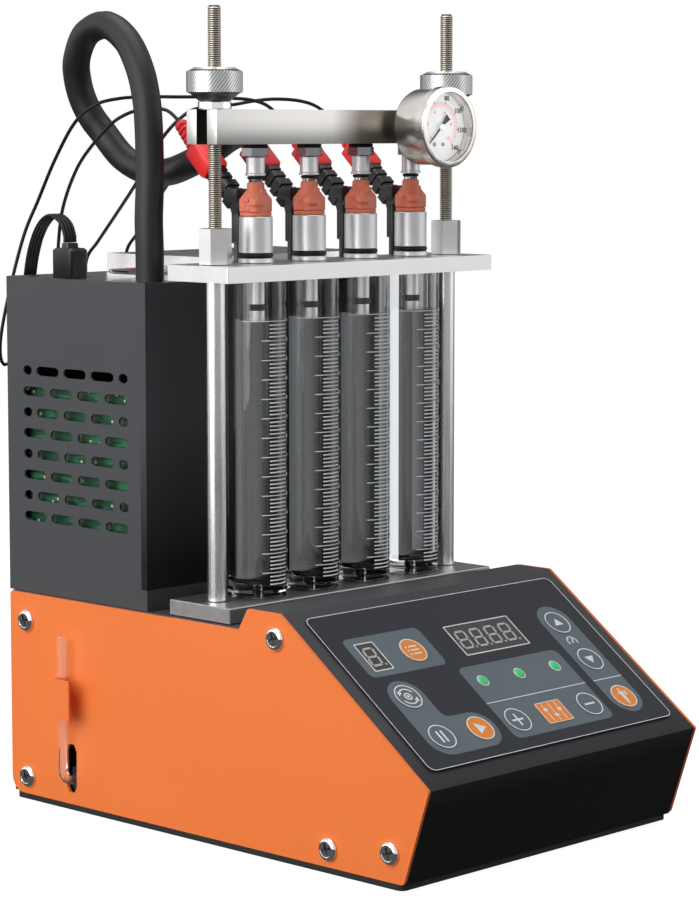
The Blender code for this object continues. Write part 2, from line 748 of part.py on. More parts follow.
def cabinet_corners():
    """Side view of the cabinet as (depth, height, corner radius)."""
    bridge_end = PANEL_DEPTH + BRIDGE_DEPTH
    return [(FRONT_FOOT_DEPTH, CHASSIS_BOTTOM, FRONT_CORNER_RADIUS),
            (CABINET_DEPTH, CHASSIS_BOTTOM, REAR_CORNER_RADIUS),
            (CABINET_DEPTH, DECK_HEIGHT, BEND_RADIUS),
            (bridge_end + STEP_RUN, DECK_HEIGHT, 0),
            (bridge_end, PANEL_TOP_HEIGHT, BEND_RADIUS),
            (PANEL_DEPTH, PANEL_TOP_HEIGHT, BEND_RADIUS),
            (0, NOSE_HEIGHT, BEND_RADIUS)]


# Outlines drawn in the XY plane stand up in the YZ plane after this turn
SIDE_TURN = (math.pi / 2, 0, math.pi / 2)


def build_side_plates():
    """Orange side plates; the left one has the drain slot."""
    outline = rounded(cabinet_corners())
    slot_middle = (DRAIN_SLOT_LOW + DRAIN_SLOT_HIGH) / 2
    slot = stadium(DRAIN_Y, slot_middle, DRAIN_SLOT_WIDTH, DRAIN_SLOT_HIGH - DRAIN_SLOT_LOW)
    middle_x = SIDE_OUTER_X - SIDE_PLATE_THICKNESS / 2
    left = plate("side_plate_left", [outline, slot], SIDE_PLATE_THICKNESS)
    place(left, "orange_paint", location=(-middle_x, 0, 0), rotation=SIDE_TURN)
    right = plate("side_plate_right", [outline], SIDE_PLATE_THICKNESS)
    place(right, "orange_paint", location=(middle_x, 0, 0), rotation=SIDE_TURN)


def build_chassis():
    """One folded sheet: front, key panel, bridge, step, deck and rear wall."""
    bridge_end = PANEL_DEPTH + BRIDGE_DEPTH
    path = [(FRONT_FOOT_DEPTH, CHASSIS_BOTTOM), (0, NOSE_HEIGHT),
            (PANEL_DEPTH, PANEL_TOP_HEIGHT), (bridge_end, PANEL_TOP_HEIGHT),
            (bridge_end + STEP_RUN, DECK_SURFACE), (CABINET_DEPTH, DECK_SURFACE),
            (CABINET_DEPTH, CHASSIS_BOTTOM)]
    work = bmesh.new()
    rows = []
    for x in (-SHEET_HALF_WIDTH, SHEET_HALF_WIDTH):
        rows.append([work.verts.new((x, y, z)) for y, z in path])
    for i in range(len(path) - 1):
        work.faces.new((rows[0][i], rows[1][i], rows[1][i + 1], rows[0][i + 1]))
    shell = sheet_object("chassis_shell", work, SHEET_THICKNESS)
    place(shell, "black_sheet")


def build_base_plate():
    """Bottom sheet with the drain union's bracket standing on it."""
    front = FRONT_FOOT_DEPTH + SHEET_THICKNESS + GAP
    rear = CABINET_DEPTH - SHEET_THICKNESS - GAP
    top = CHASSIS_BOTTOM + SHEET_THICKNESS
    sheet = block("base_plate", (-SHEET_HALF_WIDTH, front, CHASSIS_BOTTOM),
                  (SHEET_HALF_WIDTH, rear, top))
    union_left = DRAIN_X + DRAIN_TUBE_STANDOFF + SIDE_PLATE_THICKNESS + UNION_THICKNESS
    bracket = block("drain_bracket",
                    (union_left, DRAIN_Y - UNION_WIDTH / 2, CHASSIS_BOTTOM + GAP),
                    (union_left + UNION_THICKNESS, DRAIN_Y + UNION_WIDTH / 2,
                     DRAIN_ELBOW_HEIGHT + UNION_RISE))
    fuse(sheet, bracket)
    bore = rod("drain_bore", DRAIN_TUBE_DIAMETER / 2 + RUN_CLEARANCE,
               (union_left - OVERRUN, DRAIN_Y, DRAIN_ELBOW_HEIGHT),
               (union_left + UNION_THICKNESS + OVERRUN, DRAIN_Y, DRAIN_ELBOW_HEIGHT),
               axis="X")
    cut(sheet, bore)
    place(sheet, "black_sheet")


def build_feet():
    """Four rubber feet under the base plate."""
    top = CHASSIS_BOTTOM - GAP
    profile = [(0, top), (FOOT_RADIUS, top), (FOOT_RADIUS - FOOT_TAPER, 0), (0, 0)]
    half = CABINET_WIDTH / 2 - FOOT_INSET_X
    front = FRONT_FOOT_DEPTH + FOOT_INSET_Y
    rear = CABINET_DEPTH - FOOT_INSET_Y
    spots = [(-half, front), (half, front), (-half, rear), (half, rear)]
    for number, (x, y) in enumerate(spots, start=1):
        foot = turned(f"foot_{number}", profile)
        place(foot, "black_rubber", location=(x, y, 0))


def key_place(column, row):
    """Column and row on the key grid, as x and the way down the slope."""
    return KEY_COLUMN_FIRST + column * KEY_COLUMN_PITCH, KEY_ROW_FIRST + row * KEY_ROW_PITCH


KEYS = [("key_program", 1, 0, "orange_key"), ("key_up", 5, 0, "grey_key"),
        ("key_down", 5, 1, "grey_key"), ("key_injector", 5, 2, "orange_key"),
        ("key_mode", 0, 1, "grey_key"), ("key_pause", 0, 2, "grey_key"),
        ("key_start", 1, 2, "orange_key"), ("key_plus", 2, 2, "grey_key"),
        ("key_adjust", 3, 2, "orange_key"), ("key_minus", 4, 2, "grey_key")]


def key_outline(name, x, y, clearance):
    """Round key, or the box-shaped one, grown by a clearance."""
    if name == "key_adjust":
        return rounded_box(x, y, KEY_BOX_WIDTH + 2 * clearance,
                           KEY_BOX_HEIGHT + 2 * clearance, KEY_BOX_RADIUS + clearance)
    return ring_outline(x, y, KEY_RADIUS + clearance, KEY_STEPS)


def build_panel():
    """Printed label, display window and ten keys on the slope."""
    panel = make_empty("panel_slope", (0, PANEL_DEPTH, PANEL_TOP_HEIGHT),
                       (PANEL_SLOPE, 0, 0), BASE)
    height = LABEL_BOTTOM - LABEL_TOP
    middle = -(LABEL_TOP + LABEL_BOTTOM) / 2
    holes = [rounded_box(WINDOW_X, -WINDOW_S, WINDOW_WIDTH, WINDOW_HEIGHT,
                         WINDOW_CORNER_RADIUS)]
    for name, column, row, finish in KEYS:
        x, down = key_place(column, row)
        holes.append(key_outline(name, x, -down, GAP))
    label = plate("panel_label",
                  [rounded_box(0, middle, LABEL_WIDTH, height, LABEL_CORNER_RADIUS)] + holes,
                  LABEL_THICKNESS)
    place(label, "panel_print", panel, (0, 0, GAP + LABEL_THICKNESS / 2))
    window = plate("display_window",
                   [rounded_box(WINDOW_X, -WINDOW_S, WINDOW_WIDTH - 2 * GAP,
                                WINDOW_HEIGHT - 2 * GAP, WINDOW_CORNER_RADIUS)],
                   LABEL_THICKNESS)
    place(window, "window", panel, (0, 0, GAP + LABEL_THICKNESS / 2))
    for name, column, row, finish in KEYS:
        x, down = key_place(column, row)
        key = plate(name, [key_outline(name, 0, 0, 0)], KEY_THICKNESS)
        place(key, finish, panel, (x, -down, KEY_LIFT + KEY_THICKNESS / 2))


def build_plates():
    """Silver plates under and over the tubes."""
    front = COLUMN_Y - PLATE_DEPTH / 2
    rear = COLUMN_Y + PLATE_DEPTH / 2
    half = PLATE_WIDTH / 2
    lower = block("lower_plate", (-half, front, LOWER_PLATE_BOTTOM),
                  (half, rear, LOWER_PLATE_TOP))
    add_bevel(lower, PLATE_CHAMFER)
    place(lower, "silver_plate")
    holes = [rounded_box(0, 0, PLATE_WIDTH, PLATE_DEPTH, PLATE_CHAMFER)]
    for x in STATIONS:
        holes.append(ring_outline(x, 0, SPIGOT_DIAMETER / 2 + RUN_CLEARANCE, ROUND_STEPS))
    for x in (-POST_X, POST_X):
        holes.append(ring_outline(x, 0, ROD_DIAMETER / 2 + RUN_CLEARANCE, ROUND_STEPS))
    upper = plate("upper_plate", holes, PLATE_THICKNESS)
    place(upper, "silver_plate",
          location=(0, COLUMN_Y, UPPER_PLATE_BOTTOM + PLATE_THICKNESS / 2))


def build_columns():
    """Posts that run on through the upper plate as threaded rods."""
    hex_low = UPPER_PLATE_TOP + GAP
    hex_high = hex_low + ROD_HEX_HEIGHT
    post = POST_DIAMETER / 2
    thread = ROD_DIAMETER / 2
    profile = [(0, ROD_TOP), (thread - ROD_CHAMFER, ROD_TOP), (thread, ROD_TOP - ROD_CHAMFER),
               (thread, TUBE_TOP), (post, TUBE_TOP), (post, TUBE_BOTTOM), (0, TUBE_BOTTOM)]
    for name, x in (("column_left", -POST_X), ("column_right", POST_X)):
        column = turned(name, profile)
        nut = hex_bar(name + "_hex", ROD_HEX_ACROSS_FLATS, (0, 0, hex_low), (0, 0, hex_high))
        fuse(column, nut)
        nut.location = (x, COLUMN_Y, 0)
        place(column, "thread_steel", location=(x, COLUMN_Y, 0))


def build_tubes():
    """Graduated tubes with a foot ring, a round floor and a drain hole."""
    outer = TUBE_DIAMETER / 2
    inner = outer - TUBE_WALL
    drain = TUBE_DRAIN_DIAMETER / 2
    floor = TUBE_BOTTOM + TUBE_FLOOR
    bend = inner - TUBE_FLOOR_RADIUS
    profile = [(outer, TUBE_TOP), (outer, TUBE_BOTTOM + TUBE_FOOT_HEIGHT),
               (outer - TUBE_FOOT_GROOVE, TUBE_BOTTOM + TUBE_FOOT_HEIGHT / 2),
               (outer, TUBE_BOTTOM), (drain, TUBE_BOTTOM), (drain, floor), (bend, floor)]
    for step in range(1, 3):
        angle = math.pi / 2 * step / 2
        profile.append((bend + TUBE_FLOOR_RADIUS * math.sin(angle),
                        floor + TUBE_FLOOR_RADIUS * (1 - math.cos(angle))))
    profile.append((inner, TUBE_TOP))
    for number, x in enumerate(STATIONS, start=1):
        tube = turned(f"tube_{number}", profile, TUBE_STEPS, closed=True)
        place(tube, "smoked_tube", location=(x, COLUMN_Y, 0))


def build_cups():
    """Injector cups with a flange, seal grooves and a spray spigot."""
    outer = CUP_DIAMETER / 2
    flange = CUP_FLANGE_DIAMETER / 2
    ring = CUP_RING_DIAMETER / 2
    spigot = SPIGOT_DIAMETER / 2
    seal = SPIGOT_RING_DIAMETER / 2
    bore = SPIGOT_BORE / 2
    flange_top = CUP_BOTTOM + CUP_FLANGE_HEIGHT
    ring_top = flange_top + CUP_RING_HEIGHT
    seal_high = CUP_BOTTOM - SPIGOT_RING_DROP
    seal_low = seal_high - SPIGOT_RING_HEIGHT
    bottom = CUP_BOTTOM - SPIGOT_LENGTH
    profile = [(outer, CUP_TOP), (outer, ring_top), (ring, ring_top), (ring, flange_top),
               (flange, flange_top), (flange, CUP_BOTTOM), (spigot, CUP_BOTTOM),
               (spigot, seal_high), (seal, seal_high), (seal, seal_low), (spigot, seal_low),
               (spigot, bottom), (bore, bottom), (bore, CUP_BOTTOM + CUP_FLOOR),
               (outer - CUP_WALL, CUP_BOTTOM + CUP_FLOOR), (outer - CUP_WALL, CUP_TOP)]
    for number, x in enumerate(STATIONS, start=1):
        cup = turned(f"injector_cup_{number}", profile, ROUND_STEPS, closed=True)
        place(cup, "silver_plate", location=(x, COLUMN_Y, 0))


def injector_profile():
    """Side view of an injector, top to bottom."""
    nose = INJECTOR_NOSE_DIAMETER / 2
    waist_low = INJECTOR_SEAT + INJECTOR_RIM_HEIGHT
    waist_high = waist_low + INJECTOR_WAIST_HEIGHT
    body_top = waist_high + INJECTOR_BODY_HEIGHT
    neck_low = body_top + INJECTOR_SHOULDER_HEIGHT
    neck_top = neck_low + INJECTOR_NECK_HEIGHT
    tip_top = neck_top + INJECTOR_TIP_HEIGHT
    inlet_top = INJECTOR_TOP + INJECTOR_INLET_LENGTH
    return [(0, inlet_top), (INJECTOR_INLET_DIAMETER / 2, inlet_top),
            (INJECTOR_INLET_DIAMETER / 2, INJECTOR_TOP),
            (INJECTOR_RING_DIAMETER / 2, INJECTOR_TOP),
            (INJECTOR_RING_DIAMETER / 2, tip_top), (INJECTOR_TIP_DIAMETER / 2, tip_top),
            (INJECTOR_TIP_DIAMETER / 2, neck_top), (INJECTOR_NECK_DIAMETER / 2, neck_top),
            (INJECTOR_NECK_DIAMETER / 2, neck_low), (INJECTOR_BODY_DIAMETER / 2, body_top),
            (INJECTOR_BODY_DIAMETER / 2, waist_high), (INJECTOR_WAIST_DIAMETER / 2, waist_high),
            (INJECTOR_WAIST_DIAMETER / 2, waist_low), (INJECTOR_RIM_DIAMETER / 2, waist_low),
            (INJECTOR_RIM_DIAMETER / 2, INJECTOR_SEAT), (nose, INJECTOR_SEAT),
            (nose, INJECTOR_SEAT - INJECTOR_NOSE_DEPTH), (0, INJECTOR_SEAT - INJECTOR_NOSE_DEPTH)]


def connector_axis():
    """Start of the connector's axis and its direction, up and back."""
    tilt = math.radians(CONNECTOR_TILT_DEG)
    start = Vector((0, CONNECTOR_AXIS_Y, CONNECTOR_AXIS_Z))
    return start, Vector((0, math.cos(tilt), math.sin(tilt)))


def tilted_block(name, width, depth, low, high):
    """Box along the connector's axis between two distances from its start."""
    start, along = connector_axis()
    middle = start + along * ((low + high) / 2)
    tilt = Matrix.Rotation(math.radians(CONNECTOR_TILT_DEG) - math.pi / 2, 4, "X")
    size = Matrix.Diagonal((width, depth, high - low, 1))
    work = bmesh.new()
    bmesh.ops.create_cube(work, size=1, matrix=Matrix.Translation(middle) @ tilt @ size)
    return mesh_object(name, work)


def build_injectors():
    """Injector with its side socket, the stem under it and the peg on the plate."""
    profile = injector_profile()
    stem_y = CONNECTOR_AXIS_Y - COLUMN_Y
    arm_low = CUP_TOP + GAP + INJECTOR_RIM_HEIGHT
    arm_high = arm_low + SOCKET_RISE
    stem_low = CUP_BOTTOM + STEM_FOOT_RISE
    for number, x in enumerate(STATIONS, start=1):
        name = f"injector_{number}"
        injector = turned(name, profile, ROUND_STEPS)
        place(injector, "salmon_plastic", location=(x, COLUMN_Y, 0))
        arm = block(name + "_arm", (-SOCKET_WIDTH / 2, 0, arm_low),
                    (SOCKET_WIDTH / 2, stem_y - SOCKET_LENGTH / 2, arm_high))
        fuse(injector, arm)
        arm.location = (x, COLUMN_Y, 0)
        socket = tilted_block(name + "_socket", SOCKET_WIDTH, SOCKET_DEPTH,
                              -SOCKET_LENGTH, 0)
        fuse(injector, socket)
        socket.location = (x, 0, 0)
        stem = rod(name + "_stem", STEM_DIAMETER / 2, (0, stem_y, stem_low),
                   (0, stem_y, CONNECTOR_AXIS_Z - STEM_TOP_DROP), steps=STEM_STEPS)
        fuse(injector, stem)
        stem.location = (x, COLUMN_Y, 0)
        peg = rod(name + "_peg", PEG_DIAMETER / 2, (0, stem_y, CUP_BOTTOM),
                  (0, stem_y, stem_low + STEM_DIAMETER), steps=STEM_STEPS)
        fuse(injector, peg)
        peg.location = (x, COLUMN_Y, 0)


def eight_corners(width, depth, chamfer):
    """Rectangle section with chamfered corners."""
    half_x = width / 2
    half_y = depth / 2
    return [(half_x - chamfer, half_y), (chamfer - half_x, half_y),
            (-half_x, half_y - chamfer), (-half_x, chamfer - half_y),
            (chamfer - half_x, -half_y), (half_x - chamfer, -half_y),
            (half_x, chamfer - half_y), (half_x, half_y - chamfer)]


def loft(name, sections):
    """Solid through sections given as (distance, corner points)."""
    work = bmesh.new()
    rings = []
    for distance, corners in sections:
        rings.append([work.verts.new((x, y, distance)) for x, y in corners])
    count = len(rings[0])
    for lower, upper in zip(rings, rings[1:]):
        for i in range(count):
            j = (i + 1) % count
            work.faces.new((lower[i], lower[j], upper[j], upper[i]))
    work.faces.new(rings[0])
    work.faces.new(list(reversed(rings[-1])))
    return mesh_object(name, work)


def build_connectors():
    """Black connector that widens into a boot with a round neck for the cable."""
    body = eight_corners(CONNECTOR_BODY_WIDTH, CONNECTOR_BODY_DEPTH, BOOT_CHAMFER)
    boot = eight_corners(BOOT_WIDTH, BOOT_DEPTH, BOOT_CHAMFER)
    neck_chamfer = BOOT_NECK_DIAMETER * NECK_CHAMFER_SHARE
    neck = eight_corners(BOOT_NECK_DIAMETER, BOOT_NECK_DIAMETER, neck_chamfer)
    tip_size = BOOT_NECK_DIAMETER * NECK_TIP_SHARE
    tip = eight_corners(tip_size, tip_size, tip_size * NECK_CHAMFER_SHARE)
    boot_low = CONNECTOR_BODY_LENGTH
    boot_high = boot_low + BOOT_LENGTH
    end = boot_high + BOOT_NECK_LENGTH
    sections = [(GAP, body), (boot_low, body), (boot_low + BOOT_CHAMFER, boot),
                (boot_high - BOOT_CHAMFER, boot), (boot_high, neck),
                (end - BOOT_CHAMFER, neck), (end, tip)]
    start, along = connector_axis()
    tilt = math.radians(CONNECTOR_TILT_DEG) - math.pi / 2
    for number, x in enumerate(STATIONS, start=1):
        connector = loft(f"pulse_connector_{number}", sections)
        place(connector, "red_rubber", location=(x, start.y, start.z), rotation=(tilt, 0, 0))


def build_rail():
    """Slotted rail bar with four hexagon adapters and the hose port."""
    half = RAIL_LENGTH / 2
    deep = RAIL_DEPTH / 2
    slot = RAIL_SLOT_WIDTH / 2
    slot_end = POST_X - RAIL_SLOT_PAST_ROD
    round_end = slot * SLOT_ROUND_SHARE
    corners = [(half, -deep, 0), (half, -slot, 0), (slot_end, -slot, round_end),
               (slot_end, slot, round_end), (half, slot, 0), (half, deep, 0),
               (-half, deep, 0), (-half, slot, 0), (-slot_end, slot, round_end),
               (-slot_end, -slot, round_end), (-half, -slot, 0), (-half, -deep, 0)]
    rail = made_mesh(plate("rail", [rounded(corners)], RAIL_HEIGHT))
    place(rail, "silver_plate", location=(0, COLUMN_Y, RAIL_BOTTOM + RAIL_HEIGHT / 2))
    bore = ADAPTER_BORE / 2
    stem = ADAPTER_STEM_DIAMETER / 2
    lip = ADAPTER_LIP_DIAMETER / 2
    seal = ADAPTER_SEAL_DIAMETER / 2
    lip_top = ADAPTER_BOTTOM + ADAPTER_LIP_HEIGHT
    bore_top = ADAPTER_BOTTOM + ADAPTER_BORE_DEPTH
    root = RAIL_BOTTOM + OVERRUN
    profile = [(0, root), (seal, root), (seal, ADAPTER_HEX_LOW + ADAPTER_LIP_HEIGHT),
               (stem, ADAPTER_HEX_LOW + ADAPTER_LIP_HEIGHT), (stem, lip_top),
               (lip, lip_top), (lip, ADAPTER_BOTTOM), (bore, ADAPTER_BOTTOM),
               (bore, bore_top), (0, bore_top)]
    for number, x in enumerate(STATIONS, start=1):
        adapter = turned(f"adapter_{number}", profile)
        fuse(rail, adapter)
        adapter.location = (x, COLUMN_Y, 0)
        nut = hex_bar(f"adapter_hex_{number}", ADAPTER_HEX_ACROSS_FLATS,
                      (0, 0, ADAPTER_HEX_LOW), (0, 0, ADAPTER_TOP))
        fuse(rail, nut)
        nut.location = (x, COLUMN_Y, 0)
    port = rod("rail_port", RAIL_PORT_DIAMETER / 2,
               (RAIL_PORT_X, RAIL_REAR_Y - OVERRUN, RAIL_PORT_Z),
               (RAIL_PORT_X, RAIL_REAR_Y + RAIL_PORT_LENGTH, RAIL_PORT_Z), axis="Y")
    fuse(rail, port)


def build_nuts():
    """Knurled clamping nuts with a washer face; every second vertex is a groove."""
    washer_low = RAIL_TOP + GAP
    washer_high = washer_low + NUT_WASHER_HEIGHT
    knurl_low = washer_high + NUT_CONE_HEIGHT
    knurl_high = knurl_low + NUT_KNURL_HEIGHT
    top = knurl_high + NUT_DOME_HEIGHT
    bore = ROD_DIAMETER / 2 + RUN_CLEARANCE
    outer = NUT_DIAMETER / 2
    profile = [(NUT_DOME_DIAMETER / 2, top, False), (outer, knurl_high, True),
               (outer, knurl_low, True), (NUT_NECK_DIAMETER / 2, washer_high, False),
               (NUT_WASHER_DIAMETER / 2, washer_low, False), (bore, washer_low, False),
               (bore, top, False)]
    steps = NUT_KNURL_TEETH * TEETH_STEPS_PER_TOOTH
    for name, x in (("knurled_nut_left", -POST_X), ("knurled_nut_right", POST_X)):
        work = bmesh.new()
        rings = []
        for radius, height, knurled in profile:
            ring = []
            for step in range(steps):
                angle = math.tau * step / steps
                groove = NUT_KNURL_DEPTH if knurled and step % TEETH_STEPS_PER_TOOTH else 0
                reach = radius - groove
                spot = (reach * math.cos(angle), reach * math.sin(angle), height)
                ring.append(work.verts.new(spot))
            rings.append(ring)
        for upper, lower in zip(rings, rings[1:] + rings[:1]):
            for i in range(steps):
                j = (i + 1) % steps
                work.faces.new((upper[i], lower[i], lower[j], upper[j]))
        nut = mesh_object(name, work)
        place(nut, "stainless", location=(x, COLUMN_Y, 0))


def build_gauge():
    """Gauge case with bezel and stem, dial, needle and glass; it faces forward."""
    outer = GAUGE_DIAMETER / 2
    case = GAUGE_CASE_DIAMETER / 2
    stem = GAUGE_STEM_DIAMETER / 2
    rear = RAIL_FRONT_Y - GAP - GAUGE_STEM_LENGTH
    front = rear - GAUGE_CASE_LENGTH
    axis = make_empty("gauge_axis", (GAUGE_X, front, GAUGE_Z), (math.pi / 2, 0, 0), BASE)
    window = outer - GAUGE_BEZEL_WALL
    inside = case - GAUGE_WALL
    glass_front = GAUGE_GLASS_RECESS
    glass_rear = glass_front + GAUGE_GLASS_THICKNESS
    seat = glass_rear + GAP
    ledge = window - GAUGE_WALL
    stem_end = GAUGE_CASE_LENGTH + GAUGE_STEM_LENGTH
    profile = [(window, 0), (outer, 0), (outer, -GAUGE_BEZEL_LENGTH),
               (case, -GAUGE_BEZEL_LENGTH), (case, -GAUGE_CASE_LENGTH),
               (stem, -GAUGE_CASE_LENGTH), (stem, -stem_end), (0, -stem_end),
               (0, -GAUGE_CASE_LENGTH + GAUGE_WALL),
               (inside, -GAUGE_CASE_LENGTH + GAUGE_WALL),
               (inside, -GAUGE_DIAL_DEPTH - GAUGE_DIAL_THICKNESS - GAP),
               (ledge, -GAUGE_DIAL_DEPTH - GAUGE_DIAL_THICKNESS - GAP),
               (ledge, -seat), (window, -seat), (window, 0)]
    body = turned("gauge_case", profile[:-1], GAUGE_STEPS, closed=True)
    place(body, "stainless", axis)
    dial_radius = ledge - GAP
    dial = turned("gauge_dial", [(0, -GAUGE_DIAL_DEPTH), (dial_radius, -GAUGE_DIAL_DEPTH),
                                 (dial_radius, -GAUGE_DIAL_DEPTH - GAUGE_DIAL_THICKNESS),
                                 (0, -GAUGE_DIAL_DEPTH - GAUGE_DIAL_THICKNESS)], GAUGE_STEPS)
    place(dial, "gauge_face", axis)
    glass_radius = window - GAP
    glass = turned("gauge_glass", [(0, -glass_front), (glass_radius, -glass_front),
                                   (glass_radius, -glass_rear), (0, -glass_rear)],
                   GAUGE_STEPS)
    place(glass, "clear_glass", axis)
    half = NEEDLE_WIDTH / 2
    outline = [Vector((-NEEDLE_TAIL, -half)), Vector((0, -half)),
               Vector((NEEDLE_LENGTH, -half * NEEDLE_TIP_SHARE)),
               Vector((NEEDLE_LENGTH, half * NEEDLE_TIP_SHARE)), Vector((0, half)),
               Vector((-NEEDLE_TAIL, half))]
    needle = made_mesh(plate("gauge_needle", [outline], NEEDLE_THICKNESS))
    height = -GAUGE_DIAL_DEPTH + GAP + NEEDLE_HUB_LENGTH / 2
    turn = math.radians(NEEDLE_ZERO_DEG)
    place(needle, "black_sheet", axis, (0, 0, height), (0, 0, turn))
    hub = rod("needle_hub", NEEDLE_HUB_RADIUS, (0, 0, -NEEDLE_HUB_LENGTH / 2),
              (0, 0, NEEDLE_HUB_LENGTH / 2), steps=STEM_STEPS)
    fuse(needle, hub)
    hub.parent = axis
    hub.location = (0, 0, height)


def vent_outlines():
    """Staggered rows of round-ended slots, trimmed to one field."""
    field_half = (VENT_LONG_ROW_COUNT - 1) * VENT_PITCH_Y / 2 + VENT_LENGTH / 2
    outlines = []
    for row in range(VENT_ROWS):
        z = VENT_TOP_Z - row * VENT_PITCH_Z
        count = VENT_LONG_ROW_COUNT + (row + 1) % 2
        for i in range(count):
            middle = (i - (count - 1) / 2) * VENT_PITCH_Y
            low = max(middle - VENT_LENGTH / 2, -field_half)
            high = min(middle + VENT_LENGTH / 2, field_half)
            outlines.append(stadium(VENT_MIDDLE_Y + (low + high) / 2, z, high - low,
                                    VENT_WIDTH))
    return outlines


def build_housing():
    """Four walls of folded sheet with vents in both sides and the mains inlet."""
    half = HOUSING_WIDTH / 2
    wall = SHEET_THICKNESS
    corners = [(-half, HOUSING_FRONT_Y), (half, HOUSING_FRONT_Y),
               (half, HOUSING_REAR_Y), (-half, HOUSING_REAR_Y)]
    work = bmesh.new()
    rings = []
    for z in (HOUSING_BOTTOM, HOUSING_BOTTOM + HOUSING_HEIGHT):
        rings.append([work.verts.new((x, y, z)) for x, y in corners])
    for i in range(len(corners)):
        j = (i + 1) % len(corners)
        work.faces.new((rings[0][i], rings[0][j], rings[1][j], rings[1][i]))
    housing = sheet_object("rear_housing", work, wall)
    place(housing, "black_sheet")
    inlet = block("inlet_body",
                  (INLET_X - INLET_WIDTH / 2, HOUSING_REAR_Y - INLET_DEPTH,
                   INLET_Z - INLET_HEIGHT / 2),
                  (INLET_X + INLET_WIDTH / 2, HOUSING_REAR_Y - wall / 2,
                   INLET_Z + INLET_HEIGHT / 2))
    fuse(housing, inlet)
    pocket = block("inlet_pocket",
                   (INLET_X - INLET_WIDTH / 2 + INLET_WALL,
                    HOUSING_REAR_Y - INLET_DEPTH + INLET_WALL,
                    INLET_Z - INLET_HEIGHT / 2 + INLET_WALL),
                   (INLET_X + INLET_WIDTH / 2 - INLET_WALL, HOUSING_REAR_Y + OVERRUN,
                    INLET_Z + INLET_HEIGHT / 2 - INLET_WALL))
    cut(housing, pocket)
    vents = made_mesh(plate("vent_cutter", vent_outlines(), HOUSING_WIDTH + OVERRUN))
    cut(housing, vents)
    vents.rotation_euler = SIDE_TURN


def build_board():
    """Circuit board on spacers behind the left vents, with its larger parts."""
    wall = -HOUSING_WIDTH / 2 + SHEET_THICKNESS + GAP
    board_left = wall + BOARD_STANDOFF
    board_right = board_left + BOARD_THICKNESS
    low_y = BOARD_Y - BOARD_LENGTH / 2
    high_y = BOARD_Y + BOARD_LENGTH / 2
    board_high = BOARD_LOW + BOARD_HEIGHT
    board = block("circuit_board", (board_left, low_y, BOARD_LOW),
                  (board_right, high_y, board_high))
    corner = BOARD_SPACER_RADIUS + BOARD_SPACER_RADIUS / 2
    sink = BOARD_THICKNESS / 2
    spots = [(low_y + corner, BOARD_LOW + corner), (high_y - corner, BOARD_LOW + corner),
             (low_y + corner, board_high - corner), (high_y - corner, board_high - corner)]
    for number, (y, z) in enumerate(spots):
        spacer = rod(f"board_spacer_{number}", BOARD_SPACER_RADIUS, (wall, y, z),
                     (board_left + sink, y, z), steps=STEM_STEPS, axis="X")
        fuse(board, spacer)
    for number, (y_share, z_share, size_share) in enumerate(BOARD_PART_SHARES):
        y = low_y + BOARD_LENGTH * y_share
        z = BOARD_LOW + BOARD_HEIGHT * z_share
        size = BOARD_LENGTH * size_share / 2
        part = block(f"board_part_{number}", (board_right - sink, y - size, z - size),
                     (board_right + BOARD_PART_HEIGHT, y + size, z + size))
        fuse(board, part)
    place(board, "board_green")


def build_bath():
    """Stainless top with the bath pressed into it, made as one sheet."""
    half = HOUSING_WIDTH / 2 - SHEET_THICKNESS - GAP
    front = HOUSING_FRONT_Y + SHEET_THICKNESS + GAP
    rear = HOUSING_REAR_Y - SHEET_THICKNESS - GAP
    rim = [(LID_LEFT_X + BATH_MARGIN, LID_FRONT_Y + BATH_MARGIN),
           (LID_RIGHT_X - BATH_MARGIN, LID_FRONT_Y + BATH_MARGIN),
           (LID_RIGHT_X - BATH_MARGIN, LID_REAR_Y - BATH_MARGIN),
           (LID_LEFT_X + BATH_MARGIN, LID_REAR_Y - BATH_MARGIN)]
    edge = [(-half, front), (half, front), (half, rear), (-half, rear)]
    taper = BATH_FLOOR_TAPER
    signs = [(1, 1), (-1, 1), (-1, -1), (1, -1)]
    floor = [(x + taper * sx, y + taper * sy) for (x, y), (sx, sy) in zip(rim, signs)]
    work = bmesh.new()
    rings = []
    for corners, z in ((edge, HOUSING_TOP), (rim, HOUSING_TOP), (floor, HOUSING_TOP - BATH_DEPTH)):
        rings.append([work.verts.new((x, y, z)) for x, y in corners])
    for outer, inner in zip(rings, rings[1:]):
        for i in range(len(outer)):
            j = (i + 1) % len(outer)
            work.faces.new((outer[i], outer[j], inner[j], inner[i]))
    work.faces.new(rings[-1])
    bath = sheet_object("bath_basin", work, BATH_SHEET)
    place(bath, "stainless")


